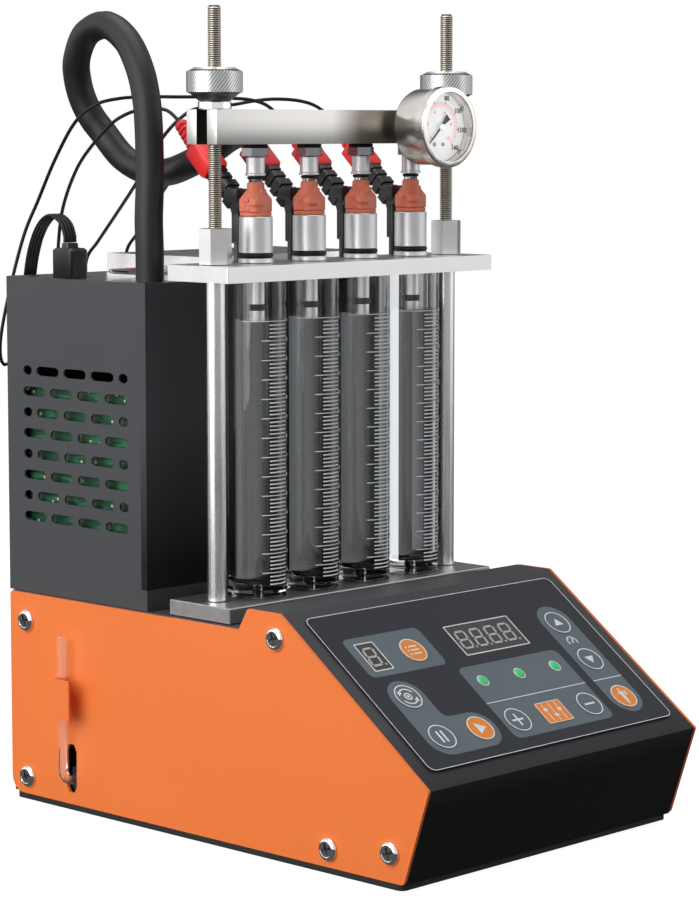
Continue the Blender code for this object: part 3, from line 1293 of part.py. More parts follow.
def build_lid():
    """Folded lid with two lugs, and the wire handle that folds in them."""
    low = HOUSING_TOP + GAP
    high = low + LID_HEIGHT
    sheet = LID_SHEET
    lid = block("bath_lid", (LID_LEFT_X, LID_FRONT_Y, low), (LID_RIGHT_X, LID_REAR_Y, high))
    hollow = block("lid_hollow",
                   (LID_LEFT_X + sheet, LID_FRONT_Y + sheet, low - OVERRUN),
                   (LID_RIGHT_X - sheet, LID_REAR_Y - sheet, high - sheet))
    cut(lid, hollow)
    pivot_x = LID_LEFT_X - LUG_LENGTH + HANDLE_WIRE
    pivot_z = low + HANDLE_HEIGHT
    leg = HANDLE_WIDTH / 2
    lug_middle = leg - LUG_INSET - HANDLE_WIRE / 2 - LUG_WIDTH / 2
    for number, side in enumerate((-1, 1), start=1):
        y = HANDLE_MIDDLE_Y + side * lug_middle
        lug = block(f"lid_lug_{number}", (LID_LEFT_X - LUG_LENGTH, y - LUG_WIDTH / 2, low + GAP),
                    (LID_LEFT_X + sheet / 2, y + LUG_WIDTH / 2, low + LUG_HEIGHT))
        fuse(lid, lug)
        eye = rod(f"lid_eye_{number}", HANDLE_WIRE / 2 + RUN_CLEARANCE,
                  (pivot_x, y - LUG_WIDTH / 2 - OVERRUN / 2, pivot_z),
                  (pivot_x, y + LUG_WIDTH / 2 + OVERRUN / 2, pivot_z), axis="Y")
        cut(lid, eye)
    place(lid, "stainless")
    reach = -HANDLE_REACH
    pin = leg - HANDLE_PIN_LENGTH
    corners = [(0, -leg), (reach, -leg), (reach, leg), (0, leg)]
    bends = [fillet(corners[1], corners[0], corners[2], HANDLE_CORNER),
             fillet(corners[2], corners[1], corners[3], HANDLE_CORNER)]
    elbow = HANDLE_WIRE / 2
    first = fillet(corners[0], (0, -pin), corners[1], elbow)
    last = fillet(corners[3], corners[2], (0, pin), elbow)
    flat = [Vector((0, -pin))] + first + bends[0] + bends[1] + last + [Vector((0, pin))]
    axis = make_empty("handle_axis", (pivot_x, HANDLE_MIDDLE_Y, pivot_z), parent=BASE)
    handle = flexible("lid_handle", [(x, y, 0) for x, y in flat], HANDLE_WIRE, 2)
    place(handle, "stainless", axis)


def build_drain():
    """Drain tube with its elbow in the left plate, and the clip that holds it."""
    inner_x = DRAIN_X + DRAIN_TUBE_STANDOFF + SIDE_PLATE_THICKNESS + DRAIN_REACH_INSIDE
    radius = DRAIN_ELBOW_RADIUS
    points = [(inner_x, 0, 0), (DRAIN_X + radius, 0, 0)]
    for step in range(1, FILLET_STEPS + 1):
        angle = math.pi / 2 * step / FILLET_STEPS
        points.append((DRAIN_X + radius - radius * math.sin(angle), 0,
                       radius - radius * math.cos(angle)))
    points.append((DRAIN_X, 0, DRAIN_TOP - DRAIN_ELBOW_HEIGHT))
    axis = make_empty("drain_axis", (0, DRAIN_Y, DRAIN_ELBOW_HEIGHT), parent=BASE)
    tube = flexible("drain_tube", points, DRAIN_TUBE_DIAMETER, 3)
    place(tube, "clear_plastic", axis)
    foot_x = -SIDE_OUTER_X - GAP
    outer = CLIP_OUTER_X
    behind = DRAIN_Y + DRAIN_TUBE_DIAMETER / 2 + GAP
    front = behind - CLIP_LENGTH + CLIP_OVERHANG
    rear = behind + CLIP_WALL
    corners = [(foot_x, rear + CLIP_OVERHANG, 0), (foot_x - CLIP_WALL, rear + CLIP_OVERHANG, 0),
               (foot_x - CLIP_WALL, rear, 0), (outer, rear, CLIP_WALL), (outer, front, 0),
               (outer + CLIP_WALL, front, 0), (outer + CLIP_WALL, behind, 0),
               (foot_x, behind, 0)]
    clip = plate("drain_clip", [rounded(corners)], CLIP_HEIGHT)
    place(clip, "orange_paint", location=(0, 0, CLIP_LOW + CLIP_HEIGHT / 2))


def build_cords():
    """Plug on the housing top, hose to the rail, and four pulse cables."""
    low = HOUSING_TOP + GAP
    plug = block("pulse_plug", (PLUG_X - PLUG_WIDTH / 2, PLUG_Y - PLUG_DEPTH / 2, low),
                 (PLUG_X + PLUG_WIDTH / 2, PLUG_Y + PLUG_DEPTH / 2, low + PLUG_HEIGHT))
    add_bevel(plug, PLUG_CHAMFER)
    place(plug, "black_rubber")
    hose = flexible("hose", smooth_points(HOSE_ROUTE, HOSE_POINT_COUNT), HOSE_DIAMETER, 3)
    place(hose, "black_rubber")
    start, along = connector_axis()
    end = CONNECTOR_BODY_LENGTH + BOOT_LENGTH + BOOT_NECK_LENGTH + GAP
    for number, station in enumerate(STATIONS, start=1):
        slot = CABLE_SLOT_ORDER[number - 1] - (STATION_COUNT - 1) / 2
        shift = PLUG_X + slot * CABLE_SPACING
        route = [(x + shift, y, z) for x, y, z in PLUG_ARCH]
        route += CABLE_TAILS[number - 1]
        for distance in (end + BOOT_CHAMFER, end):
            spot = start + along * distance
            route.append((station, spot.y, spot.z))
        cable = flexible(f"pulse_cable_{number}", smooth_points(route, CABLE_POINT_COUNT),
                         CABLE_DIAMETER, 2)
        place(cable, "black_rubber")


build_side_plates()
build_chassis()
build_base_plate()
build_feet()
build_panel()
build_plates()
build_columns()
build_tubes()
build_cups()
build_injectors()
build_connectors()
build_rail()
build_nuts()
build_gauge()
build_housing()
build_board()
build_bath()
build_lid()
build_drain()
build_cords()
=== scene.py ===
# Fuel injector cleaner and tester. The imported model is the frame; this script dresses it.
import math
import bpy
from mathutils import Matrix, Vector


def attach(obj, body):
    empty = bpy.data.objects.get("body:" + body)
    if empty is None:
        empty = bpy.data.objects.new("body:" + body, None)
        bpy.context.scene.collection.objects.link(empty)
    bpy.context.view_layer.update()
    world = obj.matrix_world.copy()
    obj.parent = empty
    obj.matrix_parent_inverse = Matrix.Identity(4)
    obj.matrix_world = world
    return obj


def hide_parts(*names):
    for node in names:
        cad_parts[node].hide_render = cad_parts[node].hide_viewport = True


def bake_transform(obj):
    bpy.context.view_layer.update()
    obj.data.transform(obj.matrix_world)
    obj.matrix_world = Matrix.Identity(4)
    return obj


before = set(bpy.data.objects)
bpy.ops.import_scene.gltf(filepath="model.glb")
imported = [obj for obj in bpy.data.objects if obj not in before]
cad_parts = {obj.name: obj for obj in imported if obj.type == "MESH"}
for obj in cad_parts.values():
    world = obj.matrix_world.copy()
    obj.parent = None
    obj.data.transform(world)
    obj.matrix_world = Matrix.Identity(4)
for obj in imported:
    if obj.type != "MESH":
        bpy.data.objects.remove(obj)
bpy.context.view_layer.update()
print("frame loaded")

mm = 0.001
cabinetCentre = (0.0059, -0.1805)  # from the front nose to the middle of the footprint
columnLine = 188.6  # the tubes stand in this line
columnX = 100.5  # and the two columns this far to either side


def spot(x, y, z):
    # millimetres from the cabinet's nose, on the floor, to metres in the frame
    return Vector((x * mm + cabinetCentre[0], y * mm + cabinetCentre[1], z * mm))


# camera
view = {"place": (-1271.9, -1056.0, 424.6), "pitch": 84.088, "heading": -46.087,
        "lens": 149.80, "shift": (-0.01349, -0.03555)}


def newObject(name, data):
    piece = bpy.data.objects.new(name, data)
    bpy.context.scene.collection.objects.link(piece)
    return piece


def aimCamera():
    data = bpy.data.cameras.new("studioCamera")
    data.sensor_fit = "HORIZONTAL"
    data.sensor_width = 36
    data.lens = view["lens"]
    data.shift_x, data.shift_y = view["shift"]
    data.clip_start = 0.05
    data.clip_end = 50
    camera = newObject("studioCamera", data)
    camera.location = spot(*view["place"])
    camera.rotation_euler = (math.radians(view["pitch"]), 0, math.radians(view["heading"]))
    bpy.context.scene.camera = camera


aimCamera()
print("camera placed")


# materials
class Signal:
    def __init__(self, recipe, socket):
        self.recipe = recipe
        self.socket = socket

    def maths(self, operation, first, second):
        return self.recipe.add("ShaderNodeMath", {"operation": operation}, {0: first, 1: second})

    def __add__(self, other):
        return self.maths("ADD", self, other)

    def __radd__(self, other):
        return self.maths("ADD", other, self)

    def __sub__(self, other):
        return self.maths("SUBTRACT", self, other)

    def __rsub__(self, other):
        return self.maths("SUBTRACT", other, self)

    def __mul__(self, other):
        return self.maths("MULTIPLY", self, other)

    def __truediv__(self, other):
        return self.maths("DIVIDE", self, other)

    def __gt__(self, other):
        return self.maths("GREATER_THAN", self, other)

    def __lt__(self, other):
        return self.maths("LESS_THAN", self, other)

    def clamped(self):
        low = self.maths("MAXIMUM", self, 0.0)
        return low.maths("MINIMUM", low, 1.0)


class Wiring:
    # the nodes of one tree
    def __init__(self, tree):
        self.tree = tree

    def feed(self, socket, value):
        if isinstance(value, Signal):
            self.tree.links.new(value.socket, socket)
        else:
            socket.default_value = value

    def add(self, kind, settings=None, values=None, output=0):
        node = self.tree.nodes.new(kind)
        for name, value in (settings or {}).items():
            setattr(node, name, value)
        for name, value in (values or {}).items():
            self.feed(node.inputs[name], value)
        return Signal(self, node.outputs[output])

    def light(self, kind, strength):
        return self.add(kind, {}, {"Color": (1, 1, 1, 1), "Strength": strength})

    def mixShaders(self, factor, first, second):
        return self.add("ShaderNodeMixShader", {}, {0: factor, 1: first, 2: second})

    def seenDirectly(self):
        # rays from the camera, also those that pass through glass
        direct = self.add("ShaderNodeLightPath", output="Is Camera Ray")
        return direct.maths("MAXIMUM", direct, self.add("ShaderNodeLightPath", output="Is Transmission Ray"))


class Recipe(Wiring):
    def __init__(self, name, colour, roughness, metallic=0.0, specular=0.5):
        self.material = bpy.data.materials.new(name)
        self.material.use_nodes = True
        super().__init__(self.material.node_tree)
        self.shader = self.tree.nodes["Principled BSDF"]
        for socket, value in (("Base Color", (*colour, 1)), ("Roughness", roughness), ("Metallic", metallic),
                              ("Specular IOR Level", specular)):
            self.set(socket, value)
        self.place = self.add("ShaderNodeTexCoord", output="Object")

    def noise(self, scale, detail=3.0, stretch=(1, 1, 1), roughness=0.55):
        place = self.add("ShaderNodeMapping", {}, {"Vector": self.place, "Scale": stretch})
        return self.add("ShaderNodeTexNoise", {}, {"Vector": place, "Scale": scale, "Detail": detail,
                                                   "Roughness": roughness})

    def blendColours(self, factor, first, second):
        node = self.tree.nodes.new("ShaderNodeMix")
        node.data_type = "RGBA"
        self.feed(node.inputs["Factor"], factor)
        for socket, colour in ((node.inputs[6], first), (node.inputs[7], second)):
            self.feed(socket, colour if isinstance(colour, Signal) else (*colour, 1))
        return Signal(self, node.outputs[2])

    def tint(self, factor, colour, low, high):
        # drifts between a darker and a lighter share of one colour
        return self.blendColours(factor, scaled(colour, low), scaled(colour, high))

    def axes(self):
        node = self.tree.nodes.new("ShaderNodeSeparateXYZ")
        self.feed(node.inputs[0], self.place)
        return [Signal(self, node.outputs[i]) for i in range(3)]

    def fromAxis(self, across, deep):
        # distance from an upright axis
        square = across * across + deep * deep
        return square.maths("SQRT", square, 0)

    def bump(self, height, strength, distance):
        self.feed(self.shader.inputs["Normal"],
                  self.add("ShaderNodeBump", {}, {"Height": height, "Strength": strength,
                                                  "Distance": distance}))

    def set(self, socket, value):
        self.feed(self.shader.inputs[socket], value)

    def glow(self, colour, strength):
        self.set("Emission Strength", strength)
        self.set("Emission Color", colour)


def scaled(colour, share):
    return tuple(min(1.0, c * share) for c in colour)


def paintFinish(name, colour, roughness, grain, depth, spread=0.10, specular=0.5):
    # sprayed paint: broad tone drift, fine peel, slightly uneven gloss
    recipe = Recipe(name, colour, roughness, specular=specular)
    recipe.set("Base Color", recipe.tint(recipe.noise(9, 2), colour, 1 - spread, 1 + spread))
    recipe.set("Roughness", roughness - 0.06 + recipe.noise(60, 3) * 0.12)
    recipe.bump(recipe.noise(grain, 2), 0.35, depth)
    return recipe.material


def sheetFinish(name, colour, shade):
    # textured black paint, with painted shade on the nose and at the foot of the housing's front
    recipe = Recipe(name, colour, 0.50, specular=0.12)
    y, z = recipe.axes()[1:]
    tone = recipe.tint(recipe.noise(9, 2), colour, 0.88, 1.12)
    nose = (shade["noseHigh"] * mm - z) / (shade["noseFade"] * mm)
    nose = nose * (y < shade["noseRear"] * mm + cabinetCentre[1])
    front = (y < shade["front"] * mm + cabinetCentre[1]) * (shade["high"] * mm - z) / (shade["fade"] * mm)
    front = front * (z > shade["low"] * mm)
    # painted shade: where either mask reaches, the black falls to a sixth of itself
    deep = nose.maths("MAXIMUM", nose, front).clamped()
    recipe.set("Base Color", recipe.blendColours(deep, tone, scaled(colour, 0.16)))
    recipe.set("Roughness", 0.44 + recipe.noise(60, 3) * 0.12)
    recipe.bump(recipe.noise(2600, 2), 0.35, 0.00008)
    return recipe.material


def metalFinish(name, colour, roughness, stretch, grain=900, depth=0.00003, spread=0.12):
    # brushed metal: long fine lines across the stretched axes
    recipe = Recipe(name, colour, roughness, 1.0)
    lines = recipe.noise(grain, 3, stretch)
    drift = lines * 0.6 + recipe.noise(25, 2) * 0.4
    recipe.set("Base Color", recipe.tint(drift, colour, 1 - spread, 1 + spread))
    recipe.set("Roughness", roughness - 0.07 + lines * 0.16)
    recipe.bump(lines, 0.3, depth)
    return recipe.material


def mouldedFinish(name, colour, roughness, grain=1500, depth=0.00004, spread=0.08, specular=0.5):
    # moulded plastic or rubber: faint mottling and a fine matt grain
    recipe = Recipe(name, colour, roughness, specular=specular)
    mottle = recipe.noise(120, 3)
    recipe.set("Base Color", recipe.tint(mottle, colour, 1 - spread, 1 + spread))
    recipe.set("Roughness", roughness - 0.05 + mottle * 0.1)
    recipe.bump(recipe.noise(grain, 2), 0.4, depth)
    return recipe.material


def threadFinish(name, colour, core, crest, lit=None):
    # bright crests and roots darkened with painted shade, told apart by their distance from the two rod axes
    recipe = Recipe(name, colour, 0.32, 1.0)
    x, y, z = recipe.axes()
    folded = x.maths("ABSOLUTE", x - cabinetCentre[0], 0) - columnX * mm
    radius = recipe.fromAxis(folded, y - (columnLine * mm + cabinetCentre[1]))
    height = (radius - core * mm) / ((crest - core) * mm)
    if lit is not None:
        height = height.maths("MAXIMUM", height, z > lit * mm)
    wear = recipe.noise(700, 3)
    # painted shade: toward the roots, and on anything inside them such as the cone under each nut, the colour
    # falls to a sixth
    recipe.set("Base Color", recipe.tint(height.clamped() * (0.85 + wear * 0.3), colour, 0.16, 1.25))
    recipe.set("Roughness", 0.26 + wear * 0.14)
    return recipe.material


def railFinish(name, colour, shade, reach):
    # brushed along its length, with a painted dark reflection of the gauge that stands before it
    recipe = Recipe(name, colour, 0.38, 1.0)
    lines = recipe.noise(260, 4, (0.02, 1, 1))
    x = recipe.axes()[0]
    # painted reflection: toward the gauge the colour runs to the dark reflection colour
    near = (x - (cabinetCentre[0] + reach["left"] * mm)) / (reach["fade"] * mm)
    near = near.clamped() * (x < reach["right"] * mm + cabinetCentre[0])
    tone = recipe.tint(lines, colour, 0.86, 1.10)
    recipe.set("Base Color", recipe.blendColours(near * 0.80, tone, shade))
    recipe.set("Roughness", 0.32 + lines * 0.14)
    recipe.bump(lines, 0.35, 0.00004)
    return recipe.material


def boardFinish(name):
    # green board with copper tracks and pads
    recipe = Recipe(name, (0.01, 0.07, 0.03), 0.4)
    cells = recipe.add("ShaderNodeTexVoronoi", {"feature": "F1", "distance": "CHEBYCHEV"},
                       {"Vector": recipe.place, "Scale": 170.0}, "Distance")
    tracks = recipe.noise(220, 1, (1, 0.2, 1))
    copper = recipe.blendColours(tracks > 0.56, (0.008, 0.07, 0.03), (0.025, 0.16, 0.07))
    recipe.set("Base Color", recipe.blendColours(cells < 0.13, copper, (0.72, 0.62, 0.42)))
    recipe.bump(cells, 0.3, 0.0003)
    return recipe.material


def smokeFinish(name, zones):
    # clear outer wall; the bore is smoked, with painted shade on its far side and over all of the last tube's
    # bore, and darker under the graduations
    recipe = Recipe(name, (0.50, 0.515, 0.54), 0.03, specular=0.12)
    recipe.set("Transmission Weight", 1.0)
    recipe.set("IOR", 1.40)
    x, y, z = recipe.axes()
    spacing = zones["spacing"]
    across = x.maths("FLOORED_MODULO", x - cabinetCentre[0], spacing * mm) - spacing / 2 * mm
    deep = y - (columnLine * mm + cabinetCentre[1])
    inner = recipe.fromAxis(across, deep) < zones["bore"] * mm
    near = inner * (deep < 2.0 * mm)
    last = x > cabinetCentre[0] + spacing * mm
    cloud = recipe.noise(18, 2, (1, 1, 0.3))
    # painted shade: the far side is darker than the near side, and the last tube is dark all through
    front = recipe.blendColours(last, (0.80, 0.82, 0.85), (0.05, 0.052, 0.056))
    rear = recipe.blendColours(last, (0.17, 0.18, 0.195), (0.02, 0.021, 0.023))
    bore = recipe.blendColours(deep > -3.0 * mm, front, rear)
    bore = recipe.blendColours(cloud * 0.35, bore, (0.30, 0.31, 0.33))
    top = recipe.blendColours(deep > -3.0 * mm, (0.97, 0.97, 0.97), (0.10, 0.105, 0.11))
    bore = recipe.blendColours(z > zones["clearTop"] * mm, bore, top)
    # the bottom of the bore is darker, its top edge rising to the right
    darkBottom = z < zones["darkBottom"] * mm + across * 0.35
    bore = recipe.blendColours(darkBottom, bore, (0.10, 0.105, 0.11))
    strip = (deep < -15.3 * mm) * (across > -6.3 * mm) * (z > zones["stripFoot"] * mm)
    wall = recipe.blendColours(strip, (0.96, 0.97, 0.975), (0.13, 0.135, 0.14))
    wall = recipe.blendColours(z < zones["wallFoot"] * mm, wall, (0.34, 0.345, 0.35))
    recipe.set("Base Color", recipe.blendColours(inner, wall, bore))
    recipe.set("Roughness", 0.01 + recipe.noise(60, 2, (1, 1, 0.05)) * 0.04)
    # painted highlight: a faint glow on the near side of the bore, stronger toward its left edge, in upright
    # streaks
    edge = (across * -1.0 - 6.0 * mm) / (8.0 * mm)
    edge = edge.maths("MAXIMUM", edge, 0.0)
    sheenStreaks = 0.8 + recipe.noise(260, 2, (1, 1, 0.01)) * 0.4
    paintedSheen = near * (z < zones["clearTop"] * mm) * (1.0 - darkBottom) * (0.014 + edge * 0.075) * sheenStreaks
    # painted highlight: a pale glowing rim at the left edge of the last tube's wall
    rimHighlight = (1.0 - inner) * last * (across < -17.0 * mm) * (deep < 3.0 * mm)
    rimHighlight = rimHighlight * (z > zones["rimFoot"] * mm) * 0.72
    light = paintedSheen.maths("MAXIMUM", paintedSheen, rimHighlight)
    recipe.glow(recipe.blendColours(light, (0.0, 0.0, 0.0), (0.95, 0.98, 1.0)), 1.0)
    return recipe.material


def clearFinish(name, colour, weight, ior):
    recipe = Recipe(name, colour, 0.02)
    recipe.set("Transmission Weight", weight)
    recipe.set("IOR", ior)
    recipe.set("Roughness", 0.01 + recipe.noise(80, 2) * 0.03)
    return recipe.material


def lampFinish(name, colour, glow):
    recipe = Recipe(name, colour, 0.3)
    mottle = recipe.noise(900, 2)
    recipe.set("Base Color", recipe.tint(mottle, colour, 0.85, 1))
    recipe.glow(recipe.tint(mottle, colour, 0.8, 1), glow)
    return recipe.material


def dialFinish(name, colour, glow):
    # printed dial card with a painted glow that keeps it bright behind its glass
    recipe = Recipe(name, colour, 0.5)
    fibre = recipe.noise(2500, 2)
    tone = recipe.tint(fibre, colour, 0.97, 1.03)
    recipe.set("Base Color", tone)
    recipe.glow(tone, glow)
    recipe.bump(fibre, 0.2, 0.00001)
    return recipe.material


# each finish is named once, with what its maker above takes after the name
finishTable = {
    paintFinish: {
        "orangePaint": ((0.94, 0.222, 0.052), 0.42, 1400, 0.00004, 0.035, 0.3),
        "panelFilm": ((0.020, 0.0235, 0.032), 0.34, 3200, 0.00002, 0.12, 0.2),
        "zoneInk": ((0.098, 0.133, 0.156), 0.45, 3200, 0.00002, 0.06),
        "whiteInk": ((0.86, 0.87, 0.88), 0.5, 3200, 0.00001, 0.03),
        "keyOrange": ((0.90, 0.27, 0.025), 0.40, 3000, 0.00002, 0.04),
        "windowBlack": ((0.012, 0.013, 0.016), 0.10, 900, 0.000005, 0.2),
        "digitGrey": ((0.50, 0.49, 0.47), 0.35, 2000, 0.00001, 0.08),
        "dialInk": ((0.010, 0.010, 0.012), 0.5, 2500, 0.00001, 0.03),
    },
    sheetFinish: {
        "sheetBlack": ((0.072, 0.074, 0.080),
                       {"noseHigh": 92.0, "noseFade": 44.0, "noseRear": 130.0,
                        "front": 237.0, "low": 146.0, "high": 250.0, "fade": 90.0}),
    },
    metalFinish: {
        "plateSilver": ((0.74, 0.73, 0.73), 0.34, (0.02, 1, 1), 250, 0.00004, 0.10),
        # painted shade: a darker copy of the plate silver for the lower plate, in the tubes' shade
        "deckSilver": ((0.50, 0.50, 0.51), 0.36, (0.02, 1, 1), 250, 0.00004, 0.10),
        # painted shade for the rail's slot walls and the screws' driver recesses
        "slotDark": ((0.05, 0.048, 0.046), 0.45, (1, 1, 0.1), 400),
        "turnedSilver": ((0.66, 0.66, 0.67), 0.43, (0.3, 0.3, 4), 700),
        "postSilver": ((0.82, 0.82, 0.83), 0.26, (1, 1, 0.03), 700),
        "stainless": ((0.80, 0.79, 0.78), 0.24, (0.05, 1, 1), 300, 0.00001, 0.06),
        "gaugeSteel": ((0.74, 0.71, 0.68), 0.24, (1, 0.02, 1), 300, 0.000004, 0.07),
        "hexSteel": ((0.27, 0.275, 0.285), 0.22, (1, 1, 0.2), 500),
        "chrome": ((0.82, 0.82, 0.83), 0.08, (1, 1, 1), 200, 0.00001, 0.04),
    },
    railFinish: {
        # the second colour is the painted reflection of the gauge
        "railSilver": ((0.66, 0.645, 0.63), (0.16, 0.13, 0.10), {"left": -15.0, "right": 58.0, "fade": 24.0}),
    },
    threadFinish: {
        "nutSteel": ((0.66, 0.66, 0.66), 15.7, 16.6, 456.2),
        "threadSteel": ((0.50, 0.46, 0.41), 3.3, 4.0),
    },
    mouldedFinish: {
        "salmon": ((0.86, 0.225, 0.130), 0.42),
        "redRubber": ((0.95, 0.030, 0.032), 0.40),
        "darkPlastic": ((0.024, 0.026, 0.028), 0.36),
        "blackPlastic": ((0.008, 0.008, 0.0085), 0.34),
        "hoseRubber": ((0.013, 0.013, 0.0135), 0.44, 900, 0.00012, 0.2, 0.3),
        "cableRubber": ((0.005, 0.005, 0.0055), 0.42, 1500, 0.00004, 0.08, 0.25),
        "sealRubber": ((0.004, 0.004, 0.0045), 0.42, 1500, 0.00004, 0.08, 0.22),
        "footRubber": ((0.012, 0.012, 0.013), 0.75),
    },
    boardFinish: {"boardGreen": ()},
    smokeFinish: {
        "smoke": ({"spacing": 45.0, "bore": 16.0, "clearTop": 309.5, "darkBottom": 159.0, "stripFoot": 149.0,
                   "wallFoot": 150.5, "rimFoot": 151.0},),
    },
    clearFinish: {
        "glass": ((0.97, 0.98, 0.98), 1.0, 1.15),
        "clearTube": ((0.93, 0.93, 0.93), 0.92, 1.35),
    },
    # each of these carries a painted glow; markInk is the tube graduations
    dialFinish: {
        "dialWhite": ((0.80, 0.79, 0.79), 0.27),
        "dialPink": ((0.88, 0.62, 0.65), 0.27),
        "dialRed": ((0.78, 0.20, 0.26), 0.3),
        "markInk": ((0.84, 0.85, 0.86), 0.12),
    },
    lampFinish: {"lampGreen": ((0.03, 0.50, 0.15), 0.30)},
}
finishes = {}
for maker, group in finishTable.items():
    for name, values in group.items():
        finishes[name] = maker(name, *values)
print("materials ready")


def clearSelection():
    if bpy.context.object and bpy.context.object.mode != "OBJECT":
        bpy.ops.object.mode_set(mode="OBJECT")
    bpy.ops.object.select_all(action="DESELECT")


def choose(*pieces):
    clearSelection()
    for piece in pieces:
        piece.select_set(True)
    bpy.context.view_layer.objects.active = pieces[0]


def settle(piece, name, body, finish, smooth=35, place=None):
    # names it, bakes its place into the mesh and lets it ride
    choose(piece)
    if place is not None:
        piece.matrix_world = place @ piece.matrix_world
    piece.name = name
    bpy.ops.object.transform_apply(location=True, rotation=True, scale=True)
    piece.data.name = name
    piece.data.materials.clear()
    piece.data.materials.append(finishes[finish])
    if smooth:
        bpy.ops.object.shade_smooth_by_angle(angle=math.radians(smooth))
    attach(piece, body)
    return piece


def joined(pieces):
    choose(*pieces)
    if len(pieces) > 1:
        bpy.ops.object.join()
    return bpy.context.object


def bevelled(piece, width):
    choose(piece)
    edge = piece.modifiers.new("edge", "BEVEL")
    edge.width = width * mm
    edge.segments = 2
    edge.limit_method = "ANGLE"
    edge.angle_limit = math.radians(40)
    edge.use_clamp_overlap = True
    bpy.ops.object.modifier_apply(modifier="edge")
    return piece


def cleaned(merge=None):
    # joins points nearer than the merge distance and turns every face outward
    bpy.ops.object.mode_set(mode="EDIT")
    bpy.ops.mesh.select_all(action="SELECT")
    if merge:
        bpy.ops.mesh.remove_doubles(threshold=merge)
    bpy.ops.mesh.normals_make_consistent(inside=False)
    bpy.ops.object.mode_set(mode="OBJECT")
    return bpy.context.object


def applied(piece):
    choose(piece)
    bpy.ops.object.transform_apply(location=True, rotation=True, scale=True)
    return piece


def cutAway(piece, cutter):
    # takes the cutter's shape out of the piece
    choose(piece)
    cut = piece.modifiers.new("cut", "BOOLEAN")
    cut.object = cutter
    cut.operation = "DIFFERENCE"
    bpy.ops.object.modifier_apply(modifier="cut")
    bpy.data.objects.remove(cutter)
    return piece


def lathe(rings, steps=64):
    # rings are (radius, height) in mm; a circle is extruded and scaled from each to the next
    clearSelection()
    radius, height = rings[0]
    bpy.ops.mesh.primitive_circle_add(vertices=steps, radius=radius * mm, fill_type="NGON",
                                      location=(0, 0, height * mm))
    bpy.ops.object.mode_set(mode="EDIT")
    bpy.ops.mesh.select_all(action="SELECT")
    for nextRadius, nextHeight in rings[1:]:
        rise = (nextHeight - height) * mm
        bpy.ops.mesh.extrude_region_move(TRANSFORM_OT_translate={"value": (0, 0, rise)})
        if nextRadius != radius:
            share = nextRadius / radius
            bpy.ops.transform.resize(value=(share, share, 1), center_override=(0, 0, nextHeight * mm))
        radius, height = nextRadius, nextHeight
    cleaned()
    bpy.ops.object.transform_apply(location=True, rotation=False, scale=False)
    return bpy.context.object


def chamfered(radius, low, high, cut):
    # rings of a plain cylinder with both rims cut off
    return [(radius - cut, low), (radius, low + cut), (radius, high - cut), (radius - cut, high)]


def drill(piece, radius, low, high, steps=48):
    # takes a round hole out of a turned piece
    return cutAway(piece, lathe([(radius, low), (radius, high)], steps))


def addLine(curve, places, closed=False):
    spline = curve.splines.new("POLY")
    spline.points.add(len(places) - 1)
    for point, place in zip(spline.points, places):
        point.co = (*place, 1)
    spline.use_cyclic_u = closed


def meshFrom(curve):
    choose(newObject(curve.name, curve))
    bpy.ops.object.convert(target="MESH")
    return bpy.context.object


def flat(outlines, thickness, bevel=0.0):
    # flat shape from 2D outlines in mm; later outlines are holes
    curve = bpy.data.curves.new("flat", "CURVE")
    curve.dimensions = "2D"
    curve.fill_mode = "BOTH"
    curve.extrude = thickness * mm / 2
    for outline in outlines:
        addLine(curve, [(x * mm, y * mm, 0) for x, y in outline], True)
    meshFrom(curve)
    piece = cleaned(0.000002)
    return bevelled(piece, bevel) if bevel else piece


def box(width, depth, height, bevel, place=(0, 0, 0)):
    clearSelection()
    bpy.ops.mesh.primitive_cube_add(size=1, location=(0, 0, 0))
    piece = bpy.context.object
    bpy.ops.object.mode_set(mode="EDIT")
    bpy.ops.transform.resize(value=(width * mm, depth * mm, height * mm), center_override=(0, 0, 0))
    bpy.ops.object.mode_set(mode="OBJECT")
    bevelled(piece, bevel)
    piece.location = Vector(place) * mm
    return piece


def circle(x, y, radius, steps=48, start=0.0, sweep=360.0):
    count = steps if sweep >= 360 else steps + 1
    return [(x + radius * math.cos(math.radians(start + sweep * i / steps)),
             y + radius * math.sin(math.radians(start + sweep * i / steps))) for i in range(count)]


def arcBand(x, y, inner, outer, start, sweep, steps=24):
    return circle(x, y, outer, steps, start, sweep) + circle(x, y, inner, steps, start, sweep)[::-1]


def roundedRect(x, y, width, height, radius, steps=8):
    points = []
    for sx, sy, start in ((1, 1, 0), (-1, 1, 90), (-1, -1, 180), (1, -1, 270)):
        cx = x + sx * (width / 2 - radius)
        cy = y + sy * (height / 2 - radius)
        points += [(cx + radius * math.cos(math.radians(start + 90 * i / steps)),
                    cy + radius * math.sin(math.radians(start + 90 * i / steps))) for i in range(steps + 1)]
    return points


def bar(x0, y0, x1, y1, width):
    # a straight stroke as a four-sided outline
    dx, dy = x1 - x0, y1 - y0
    length = math.hypot(dx, dy)
    ox, oy = -dy / length * width / 2, dx / length * width / 2
    return [(x0 + ox, y0 + oy), (x0 - ox, y0 - oy), (x1 - ox, y1 - oy), (x1 + ox, y1 + oy)]


def textMesh(words, size, x, y, flip=False, weight=0.0):
    data = bpy.data.curves.new("figure", "FONT")
    data.body = words
    data.size = size * mm * 1.35  # the digits are lower than the type size
    data.align_x = "CENTER"
    data.align_y = "CENTER"
    data.extrude = 0.03 * mm
    data.offset = weight * mm
    data.resolution_u = 2
    piece = meshFrom(data)
    if flip:
        piece.rotation_euler = (math.pi, 0, 0)
    piece.location = (x * mm, y * mm, 0)
    return applied(piece)


def dress(finish, *nodes):
    for node in nodes:
        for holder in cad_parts[node].material_slots:
            holder.material = finishes[finish]


